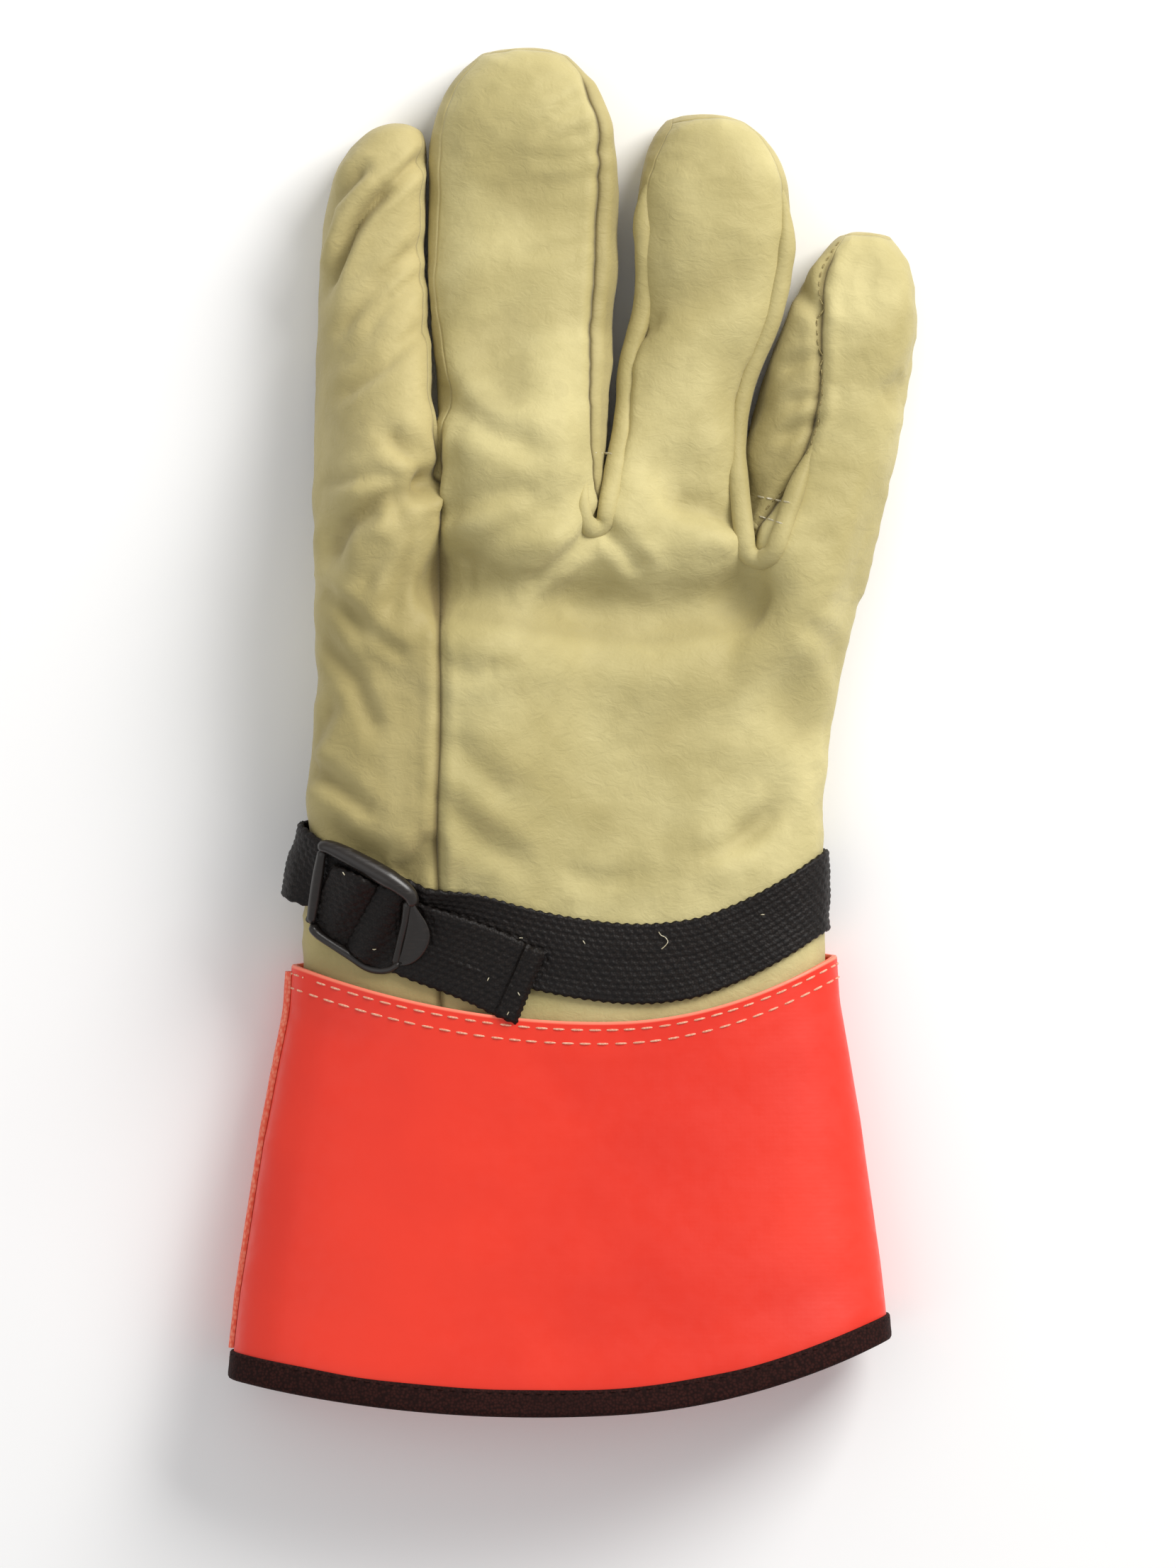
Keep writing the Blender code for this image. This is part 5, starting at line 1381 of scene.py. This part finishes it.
def strapLines():
    rings = [[skinPoints[k] + shift for k in handRings[row]] for row in (2, 3, 4)]
    half = 0.5 * strap["width"]
    lines = []
    for side in (0, 2):
        line = []
        for middle, other in zip(rings[1], rings[side]):
            step = other - middle
            line.append(middle + step * (half / step.length))
        lines.append(line)
    upper, lower = (lines[1], lines[0])
    if sum(p.y for p in upper) < sum(p.y for p in lower):
        upper, lower = lower, upper
    left = min(point.x for point in rings[1])
    right = max(point.x for point in rings[1])
    moved = []
    for line in (upper, rings[1], lower):
        raised = [between(strap["raiseLeft"], strap["raiseRight"], (point.x - left) / (right - left))
                  for point in line]
        moved.append([point + Vector((0.0, rise, 0.0)) for point, rise in zip(line, raised)])
    return moved


def addStrap(tree):
    upper, middle, lower = strapLines()
    fine = [curveThrough(line, strap["around"], True)[0] for line in (upper, middle, lower)]
    around = strap["around"]
    across = strap["across"]
    shares = np.linspace(-1.0, 1.0, across + 1)
    grid = np.zeros((across + 1, around, 3))
    for k, share in enumerate(shares):
        grid[k] = (fine[0] * 0.5 * share * (share - 1.0) + fine[1] * (1.0 - share * share)
                   + fine[2] * 0.5 * share * (share + 1.0))
    normals = gridNormals(grid)
    height = np.zeros((across + 1, around))
    for k in range(across + 1):
        for j in range(around):
            start = Vector(grid[k, j] + normals[k, j] * 0.006)
            hit = tree.ray_cast(start, Vector(-normals[k, j]), 0.012)[0]
            if hit is not None:
                height[k, j] = 0.006 - (start - hit).length
    soft = smoothRound(height, strap["smooth"])
    raised = smoothRound(np.maximum(soft, height), strap["smooth"])
    top = np.maximum(raised, height - 0.0002) + strap["gap"]
    centreX = grid[:, :, 0].mean()
    left = easeArray((-normals[:, :, 0] - 0.35) / 0.5) * (grid[:, :, 0] < centreX)
    level = 0.5 * (grid[:, :, 2].min() + grid[:, :, 2].max())
    left *= np.exp(-((grid[:, :, 2] - level) / 0.011) ** 2)
    bulge = between(strap["bulgeUpper"], strap["bulgeLower"], 0.5 * (shares + 1.0))[:, None] * left
    top = top + bulge
    steps = pathSteps(fine[1])
    total = steps[-1] + np.linalg.norm(fine[1][0] - fine[1][-1])
    turns = round(total / strap["weaveLength"])
    along = np.broadcast_to(steps * (turns * strap["weaveLength"] / total), (across + 1, around))
    side = np.broadcast_to((0.5 * strap["width"] * shares)[:, None], (across + 1, around))
    pattern = weave(along, side, strap["width"]) * strap["weave"]
    outer = grid + normals * (top + strap["wall"] + pattern - strap["weave"])[:, :, None]
    inner = grid + normals * (top + strap["gap"] * 0.2)[:, :, None]
    # the border threads bulge out a little in turn
    ripple = 0.00018 * np.sin(2.0 * np.pi * along[0] / strap["weaveLength"])[:, None]
    for edge, inward in ((0, 1), (across, across - 1)):
        away = unit(grid[edge] - grid[inward])
        outer[edge] += away * (ripple + 0.0001)
        inner[edge] += away * ripple
        outer[edge] -= normals[edge] * 0.00045
        inner[edge] += normals[edge] * 0.0002
    outer[:, :, 2] = np.maximum(outer[:, :, 2], 0.00005)
    inner[:, :, 2] = np.maximum(inner[:, :, 2], 0.00045)
    points = np.vstack([outer.reshape(-1, 3), inner.reshape(-1, 3)])
    faces = tubeFaces(across + 1, around)
    return addPiece("wristStrap", points, faces, finishes["webbing"], ("wrist_strap",))


strapPiece = addStrap(leatherTree)
strapTree = treeOf(strapPiece, *leatherPieces.values())
print("strap made:", len(strapPiece.data.polygons), "faces")


# free end of the webbing, which rises over the buckle's bars and lies on the strap

tail = {
    "width": 0.0188, "wall": 0.0014, "steps": 170, "across": 54, "hem": 0.0060, "hemWall": 0.0010,
    "gap": 0.0004, "leanReach": 15,
    # the part inside the buckle is spread wider
    "spread": 0.13, "spreadTo": 0.026, "spreadFade": 0.005,
    # middle line in mm in plan, height over what lies below it in mm
    "route": [(-60.3, -38.9, 0.4), (-58.0, -40.1, 1.6), (-54.5, -42.1, 3.0), (-51.5, -43.9, 1.8),
              (-50.2, -44.6, 0.8), (-48.7, -45.4, 1.8), (-45.9, -46.9, 2.9), (-43.0, -48.4, 1.0),
              (-40.2, -49.6, 0.2), (-36.5, -51.1, 0.3), (-32.0, -52.7, 0.5), (-27.0, -54.5, 0.5),
              (-21.0, -56.9, 0.5), (-15.0, -59.8, 0.7), (-9.5, -62.1, 1.1)],
}


def addTail(tree):
    flat = []
    for x, y, up in tail["route"]:
        place, _ = onSurface(x, y, tree)
        flat.append(place)
    # heights under the tail are eased into one smooth line
    level = np.array([place.z for place in flat])
    for _ in range(2):
        level[1:-1] = 0.25 * level[:-2] + 0.5 * level[1:-1] + 0.25 * level[2:]
    route = [(place.x, place.y, z + 0.001 * up) for place, z, (_, _, up) in zip(flat, level, tail["route"])]
    line, length = curveThrough(route, tail["steps"])
    across = tail["across"]
    half = 0.5 * tail["width"]
    ahead = unit(np.gradient(line, axis=0))
    flatWay = ahead.copy()
    flatWay[:, 2] = 0.0
    flatWay = unit(flatWay)
    side = np.stack([-flatWay[:, 1], flatWay[:, 0], np.zeros(len(line))], axis=1)
    # the webbing leans with the leather below it
    lean = []
    for k in range(len(line)):
        ends = []
        for way in (-0.75, 0.75):
            spot = Vector(line[k] + side[k] * half * way)
            hit = tree.ray_cast(Vector((spot.x, spot.y, 0.2)), Vector((0.0, 0.0, -1.0)))[0]
            ends.append(hit.z if hit else line[k][2])
        lean.append((ends[1] - ends[0]) / (1.5 * half))
    reach = tail["leanReach"]
    side[:, 2] = np.convolve(np.pad(lean, reach, mode="edge"), smoothWeights(reach), "valid")
    side = unit(side)
    up = unit(np.cross(ahead, side))
    up *= np.sign(up[:, 2:3])
    shares = np.linspace(-1.0, 1.0, across + 1)
    steps = np.linspace(0.0, length, tail["steps"])
    widths = half * (1.0 + tail["spread"] * easeArray((tail["spreadTo"] - steps) / tail["spreadFade"]))
    grid = line[:, None, :] + side[:, None, :] * (widths[:, None] * shares)[:, :, None]
    along = np.broadcast_to(steps[:, None], grid.shape[:2])
    place = np.broadcast_to((half * shares)[None, :], grid.shape[:2])
    thick = tail["wall"] + tail["hemWall"] * easeArray((along - (length - tail["hem"])) / 0.0010)
    thick = thick * (1.0 - 0.35 * easeArray((np.abs(place) - (half - 0.0009)) / 0.0009))
    ends = np.minimum(along, length - along)
    thick = thick * (0.55 + 0.45 * easeArray(ends / 0.0012))
    press = 0.00030 * np.exp(-((along - (length - tail["hem"] + 0.0016)) / 0.0006) ** 2)
    pattern = weave(along + 0.0004, place, tail["width"]) * strap["weave"] * easeArray(ends / 0.001)
    # keep clear of what lies below
    low = np.zeros(grid.shape[:2])
    for row in range(grid.shape[0]):
        for k in range(grid.shape[1]):
            spot = grid[row, k]
            hit = tree.ray_cast(Vector((spot[0], spot[1], 0.2)), Vector((0.0, 0.0, -1.0)))[0]
            if hit is not None:
                low[row, k] = max(0.0, hit.z + tail["gap"] - spot[2])
    padded = np.pad(low, 4, mode="edge")
    soft = sum(padded[4 + a:4 + a + low.shape[0], 4 + b:4 + b + low.shape[1]]
               for a in (-4, -2, 0, 2, 4) for b in (-4, -2, 0, 2, 4)) / 25.0
    grid[:, :, 2] += np.maximum(soft, low)
    ripple = 0.00016 * np.sin(2.0 * np.pi * steps / strap["weaveLength"])
    for edge, way in ((0, -1.0), (across, 1.0)):
        grid[:, edge] += side * (way * ripple)[:, None]
    frayed = 0.00018 * np.sin(2.0 * np.pi * half * shares / strap["weaveWidth"])
    grid[-1] += ahead[-1] * frayed[:, None]
    outer = grid + up[:, None, :] * (thick + pattern - press)[:, :, None]
    inner = grid + up[:, None, :] * 0.0001
    points = np.vstack([outer.reshape(-1, 3), inner.reshape(-1, 3)])
    faces = sheetFaces(*grid.shape[:2])
    return addPiece("strapTail", points, faces, finishes["webbing"], ("strap_tail",))


tailPiece = addTail(strapTree)
print("free end of the webbing made:", len(tailPiece.data.polygons), "faces")


# moulded ladder-lock buckle: two long rails, two cross bars and a rounded grip lip

buckle = {
    "sides": 14,
    "topRail": [(-60.9, -28.4), (-58.9, -28.0), (-55.0, -29.6), (-48.8, -33.0), (-42.6, -36.6),
                (-38.9, -39.6), (-37.9, -42.5)],
    "topSize": [1.3, 1.8, 2.1, 2.3, 2.3, 1.9, 1.4],
    "lowRail": [(-62.6, -46.6), (-61.0, -48.7), (-57.0, -51.5), (-52.6, -54.3), (-49.2, -56.5),
                (-46.0, -57.4), (-43.2, -57.1), (-41.2, -55.8)],
    "lowSize": [1.15, 1.15, 1.1, 1.15, 1.2, 1.25, 1.15, 1.0],
    "leftBar": [(-59.9, -28.9), (-60.7, -33.5), (-61.6, -39.0), (-62.7, -46.4)],
    "middleBar": [(-48.9, -34.6), (-49.8, -39.0), (-51.0, -46.0), (-52.2, -54.2)],
    "lipOuter": [(-37.9, -41.8), (-36.4, -44.0), (-34.7, -46.8), (-34.0, -49.6), (-34.7, -52.6),
                 (-36.7, -55.2), (-39.2, -56.6), (-41.9, -56.7)],
    "lipInner": [(-39.0, -41.9), (-39.3, -44.0), (-39.7, -46.4), (-40.2, -48.8), (-40.7, -51.2),
                 (-41.2, -53.4), (-41.8, -55.0), (-42.6, -56.3)],
    # section of the lip: share of the way outwards, height in mm
    "lipSection": [(0.00, 0.9), (0.03, 1.9), (0.12, 2.25), (0.30, 2.3), (0.50, 2.35), (0.68, 2.5),
                   (0.82, 2.75), (0.92, 2.85), (0.985, 2.55), (1.0, 1.9), (0.97, 1.35), (0.85, 1.25),
                   (0.60, 0.9), (0.30, 0.6)],
    "lipRows": 36, "lipMiddle": 1.6, "lipRaise": 0.0009,
    "gripBar": [(-39.3, -41.0), (-40.0, -46.0), (-41.2, -51.0), (-42.4, -56.4)],
    # places on the strap that the buckle rests on
    "rests": [(-60.0, -33.0), (-58.0, -41.0), (-50.0, -36.0), (-50.0, -45.0), (-42.0, -40.0), (-43.0, -49.0)],
}


def bucklePlane(tree):
    rows = []
    levels = []
    for x, y in buckle["rests"]:
        place, _ = onSurface(x, y, tree)
        rows.append((1.0, place.x, place.y))
        levels.append(place.z)
    return np.linalg.lstsq(np.array(rows), np.array(levels), rcond=None)[0]


def addBuckle(under):
    plane = bucklePlane(under)

    def height(x, y):
        return plane[0] + plane[1] * x + plane[2] * y

    def place(spot, up):
        point = toFrame(spot[0], spot[1], 0.035)
        for _ in range(3):
            point = toFrame(spot[0], spot[1], height(point.x, point.y) + up)
        return point

    normal = Vector((-plane[1], -plane[2], 1.0)).normalized()
    parts = []

    def rod(spots, sizes, up, flat, count):
        centres = [place(spot, up) for spot in spots]
        path, _ = curveThrough(centres, count)
        shares = np.linspace(0.0, 1.0, count)
        radii = np.interp(shares, np.linspace(0.0, 1.0, len(sizes)), sizes) * 0.001
        inward = np.minimum(np.minimum(shares, 1.0 - shares) * 22.0, 1.0)
        cap = np.sqrt(np.clip(1.0 - (1.0 - inward) ** 2, 0.05, 1.0))
        parts.append(tube(path, [normal] * count, list(radii * cap), buckle["sides"], flat))

    rod(buckle["topRail"], buckle["topSize"], 0.0016, 1.15, 44)
    rod(buckle["lowRail"], buckle["lowSize"], 0.0024, 1.60, 44)
    rod(buckle["leftBar"], [1.1, 1.4, 1.4, 1.1], 0.0023, 0.80, 30)
    rod(buckle["middleBar"], [1.0, 1.0, 1.0, 1.0], 0.0003, 0.80, 24)
    # lip: a lens between its outer and inner outline, its outer rim turned up
    count = buckle["lipRows"]
    outline, _ = curveThrough([(x, y, 0.0) for x, y in buckle["lipOuter"]], count)
    inline, _ = curveThrough([(x, y, 0.0) for x, y in buckle["lipInner"]], count)
    profile = buckle["lipSection"]
    middle = buckle["lipMiddle"]
    points = []
    for k in range(count):
        for share, up in profile:
            spot = inline[k] + (outline[k] - inline[k]) * share
            fade = math.sin(math.pi * (k + 1.5) / (count + 2.0)) ** 0.35
            points.append(place(spot, 0.001 * (middle + (up - middle) * fade) + buckle["lipRaise"]))
    parts.append((points, rodFaces(count, len(profile))))
    # inner grip bar below the lip
    rod(buckle["gripBar"], [1.2, 1.0, 1.0, 1.1], 0.0022, 1.1, 26)
    points, faces = joinParts(parts)
    return addPiece("ladderBuckle", points, faces, finishes["buckle"], ("buckle",),
                    sharp=60.0)


addBuckle(strapTree)
print("buckle made")


# rolled leather edges round the crotches

piping = {
    "size": 0.0025, "flat": 0.85, "sink": 0.0012,
    # finger, side of it (0 left, 1 right), rows from the crotch upwards: down one seam, then up the other
    "lines": [((2, 0, 7), None), ((2, 1, 7), (3, 0, 3))],
    # steps round the crotch's own point, in mm
    "turns": [[(2.6, 2.6), (1.9, -1.0), (-0.5, -2.6), (-2.7, -1.2), (-3.0, 2.6), (-2.4, 7.0), (-2.0, 12.0)],
              [(-3.6, 3.6), (-2.9, -0.6), (-0.2, -2.6), (2.8, -1.6), (4.4, 1.0)]],
}


def seamLine(finger, side, rows):
    return [point + shift for point in seamCorners[finger][side][:rows + 1]]


def addPiping(tree):
    parts = []
    for line, turn in zip(piping["lines"], piping["turns"]):
        down = seamLine(*line[0])
        route = [(point, False) for point in down[:1:-1]]
        route += [(down[0] + Vector((0.001 * x, 0.001 * y, 0.0)), True) for x, y in turn]
        if line[1]:
            route += [(point, False) for point in seamLine(*line[1])[2:]]
        path = []
        normals = []
        for point, above in route:
            if above:
                place, normal, _, _ = tree.ray_cast(Vector((point.x, point.y, 0.2)), Vector((0.0, 0.0, -1.0)))
            else:
                place, normal, _, _ = tree.find_nearest(Vector(point))
            path.append(place)
            normals.append(normal if normal.z > 0.0 else -normal)
        path = [Vector(row) for row in curveThrough(path, 90)[0]]
        normals = [Vector(row) for row in curveThrough(normals, 90)[0]]
        level = np.array([point.z for point in path])
        for _ in range(5):
            eased = 0.25 * level[:-2] + 0.5 * level[1:-1] + 0.25 * level[2:]
            level[1:-1] = np.maximum(eased, level[1:-1] - 0.0006)
        soft = np.array([tuple(normal) for normal in normals])
        for _ in range(8):
            soft[1:-1] = 0.25 * soft[:-2] + 0.5 * soft[1:-1] + 0.25 * soft[2:]
        centres = []
        radii = []
        for k, point in enumerate(path):
            share = k / (len(path) - 1)
            ends = min(share, 1.0 - share)
            size = piping["size"] * (0.25 + 0.75 * ease(ends / 0.14))
            size *= 1.0 + 0.10 * noise.noise(Vector((k * 0.21, 1.0, 0.0)))
            up = Vector(soft[k]).normalized()
            centre = Vector((point.x, point.y, level[k])) + up * (size * 0.55 - piping["sink"])
            centres.append(centre)
            radii.append(size)
        parts.append(tube(centres, [Vector(row) for row in soft], radii, 14, piping["flat"]))
    points, faces = joinParts(parts)
    hollow = np.zeros(len(points))
    return addPiece("rolledEdges", points, faces, finishes["roll"], (), {"hollow": hollow})


pipingPiece = addPiping(leatherTree)


# threads at the crotches, in the gussets and beside the little finger's seam

def stitchRow(tree, ends, pitch, length, radius, bulge):
    (x0, y0), (x1, y1) = ends
    run = math.hypot(x1 - x0, y1 - y0)
    count = max(1, int(run / pitch))
    parts = []
    for k in range(count):
        first = k * pitch / run
        last = min(first + length / run, 1.0)
        spots = [onSurface(between(x0, x1, share), between(y0, y1, share), tree) for share in (first, last)]
        if abs(spots[0][0].z - spots[1][0].z) > 0.004:
            continue
        parts.append(stitch(spots[0][0], spots[1][0], spots[0][1], radius, bulge))
    return parts


threads = {
    # ends of the short rows, in mm in plan
    "thick": [((-34.2, 72.9), (-31.4, 72.6)), ((-34.0, 68.5), (-31.6, 68.2)), ((5.6, 66.7), (12.0, 66.3))],
    "thin": [((44.8, 56.2), (54.6, 54.3)), ((45.2, 51.4), (51.8, 49.3))],
    "besideSeam": -0.0012, "seamFrom": 0.010, "seamPitch": 0.0024, "seamStitch": 0.0015, "radius": 0.00020,
}


def addThreads(tree):
    pale = []
    for ends in threads["thick"]:
        pale += stitchRow(tree, ends, 2.3, 1.9, 0.00026, 0.0003)
    for ends in threads["thin"]:
        pale += stitchRow(tree, ends, 2.1, 1.6, 0.00022, 0.0003)
    points, faces = joinParts(pale)
    addPiece("crotchThreads", points, faces, finishes["paleThread"])
    tan = []
    seam = [point + Vector((threads["besideSeam"], 0.0, 0.0)) for point in seamLine(3, 0, 9)]
    route, length = curveThrough(seam, 200)
    steps = np.linspace(0.0, length, 200)
    place = threads["seamFrom"]
    while place + threads["seamStitch"] + 0.0002 < length:
        spots = []
        for at in (place, place + threads["seamStitch"]):
            spot = Vector(pointAt(at, steps, route))
            hit, normal, _, _ = tree.find_nearest(spot)
            spots.append((hit, normal if normal.dot(spot - hit) > 0.0 or normal.z > 0.0 else -normal))
        place += threads["seamPitch"]
        tan.append(stitch(spots[0][0], spots[1][0], spots[0][1], threads["radius"], threads["radius"]))
    points, faces = joinParts(tan)
    addPiece("fingerThreads", points, faces, finishes["leatherThread"])


addThreads(treeOf(pipingPiece, *leatherPieces.values()))
print("rolled edges and threads made")


# bits of white lint on the webbing, and a few on the ribbon

lint = {
    # in mm in plan
    "curl": [(21.0, -48.6), (21.6, -49.4), (22.6, -49.9), (23.2, -50.9), (22.6, -51.9), (21.7, -52.7)],
    "specks": [(-12.1, -50.1), (-12.6, -63.4), (-15.2, -68.2), (-47.4, -52.6), (-54.7, -34.6), (-20.0, -60.0),
               (46.0, -44.5), (3.0, -51.0), (-8.0, -161.0), (40.0, -159.5), (-60.0, -155.5)],
    "reach": 0.00045, "lift": 0.0002,
}


def addLint():
    tree = treeOf(tailPiece, strapPiece, cuffPiece, *leatherPieces.values())
    parts = []
    path = [onSurface(x, y, tree)[0] + Vector((0.0, 0.0, 0.00035)) for x, y in lint["curl"]]
    line, _ = curveThrough(path, 24)
    parts.append(tube(line, [Vector((0.0, 0.0, 1.0))] * 24, [0.00011] * 24, 6))
    for number, (x, y) in enumerate(lint["specks"]):
        turn = 2.1 * number
        place, normal = onSurface(x, y, tree)
        reach = Vector((math.cos(turn), math.sin(turn), 0.0)) * lint["reach"]
        lift = normal * lint["lift"]
        parts.append(tube([place - reach + lift, place + lift * 1.4, place + reach + lift], [normal] * 3,
                          [0.00008, 0.00015, 0.00008], 6))
    points, faces = joinParts(parts)
    addPiece("lintBits", points, faces, finishes["paleThread"])


addLint()


# floor, lights and camera

lighting = {"room": 0.52, "key": 17.5, "fill": 2.5, "floorReach": 3.0}


def addFloor():
    mesh = bpy.data.meshes.new("studioFloor")
    reach = lighting["floorReach"]
    corners = [(-reach, -reach, 0.0), (reach, -reach, 0.0), (reach, reach, 0.0), (-reach, reach, 0.0)]
    mesh.from_pydata(corners, [], [(0, 1, 2, 3)])
    floor = bpy.data.objects.new("studioFloor", mesh)
    bpy.context.scene.collection.objects.link(floor)
    paper, shader, _ = newFinish("palePaper")
    plug(shader, "Base Color", (0.97, 0.97, 0.97, 1.0))
    plug(shader, "Roughness", 0.95)
    plug(shader, "Specular IOR Level", 0.1)
    mesh.materials.append(paper)


def addLight(name, place, size, power, tint=(1.0, 1.0, 1.0)):
    lamp = bpy.data.lights.new(name, "AREA")
    lamp.shape = "SQUARE"
    lamp.size = size
    lamp.energy = power
    lamp.color = tint
    light = bpy.data.objects.new(name, lamp)
    light.location = place
    light.rotation_euler = (Vector((0.0, 0.0, 0.02)) - Vector(place)).to_track_quat("-Z", "Y").to_euler()
    bpy.context.scene.collection.objects.link(light)


def addCamera():
    lens = bpy.data.cameras.new("viewCamera")
    lens.sensor_fit = "VERTICAL"
    lens.angle = 2.0 * math.atan(0.5 * view["field"] / view["height"])
    lens.clip_start = 0.01
    camera = bpy.data.objects.new("viewCamera", lens)
    camera.location = (view["x"], view["y"], view["height"])
    bpy.context.scene.collection.objects.link(camera)
    bpy.context.scene.camera = camera


addFloor()
addLight("keyLight", (0.75, 0.80, 0.75), 0.7, lighting["key"], (1.0, 0.985, 0.96))
addLight("fillLight", (-0.8, -0.2, 1.1), 1.2, lighting["fill"], (0.97, 0.98, 1.0))
room = bpy.data.worlds.new("studioRoom")
room.use_nodes = True
room.node_tree.nodes["Background"].inputs["Color"].default_value = (1.0, 1.0, 1.0, 1.0)
room.node_tree.nodes["Background"].inputs["Strength"].default_value = lighting["room"]
bpy.context.scene.world = room
addCamera()
bpy.context.scene.view_settings.view_transform = "Standard"
print("floor, lights and camera placed")
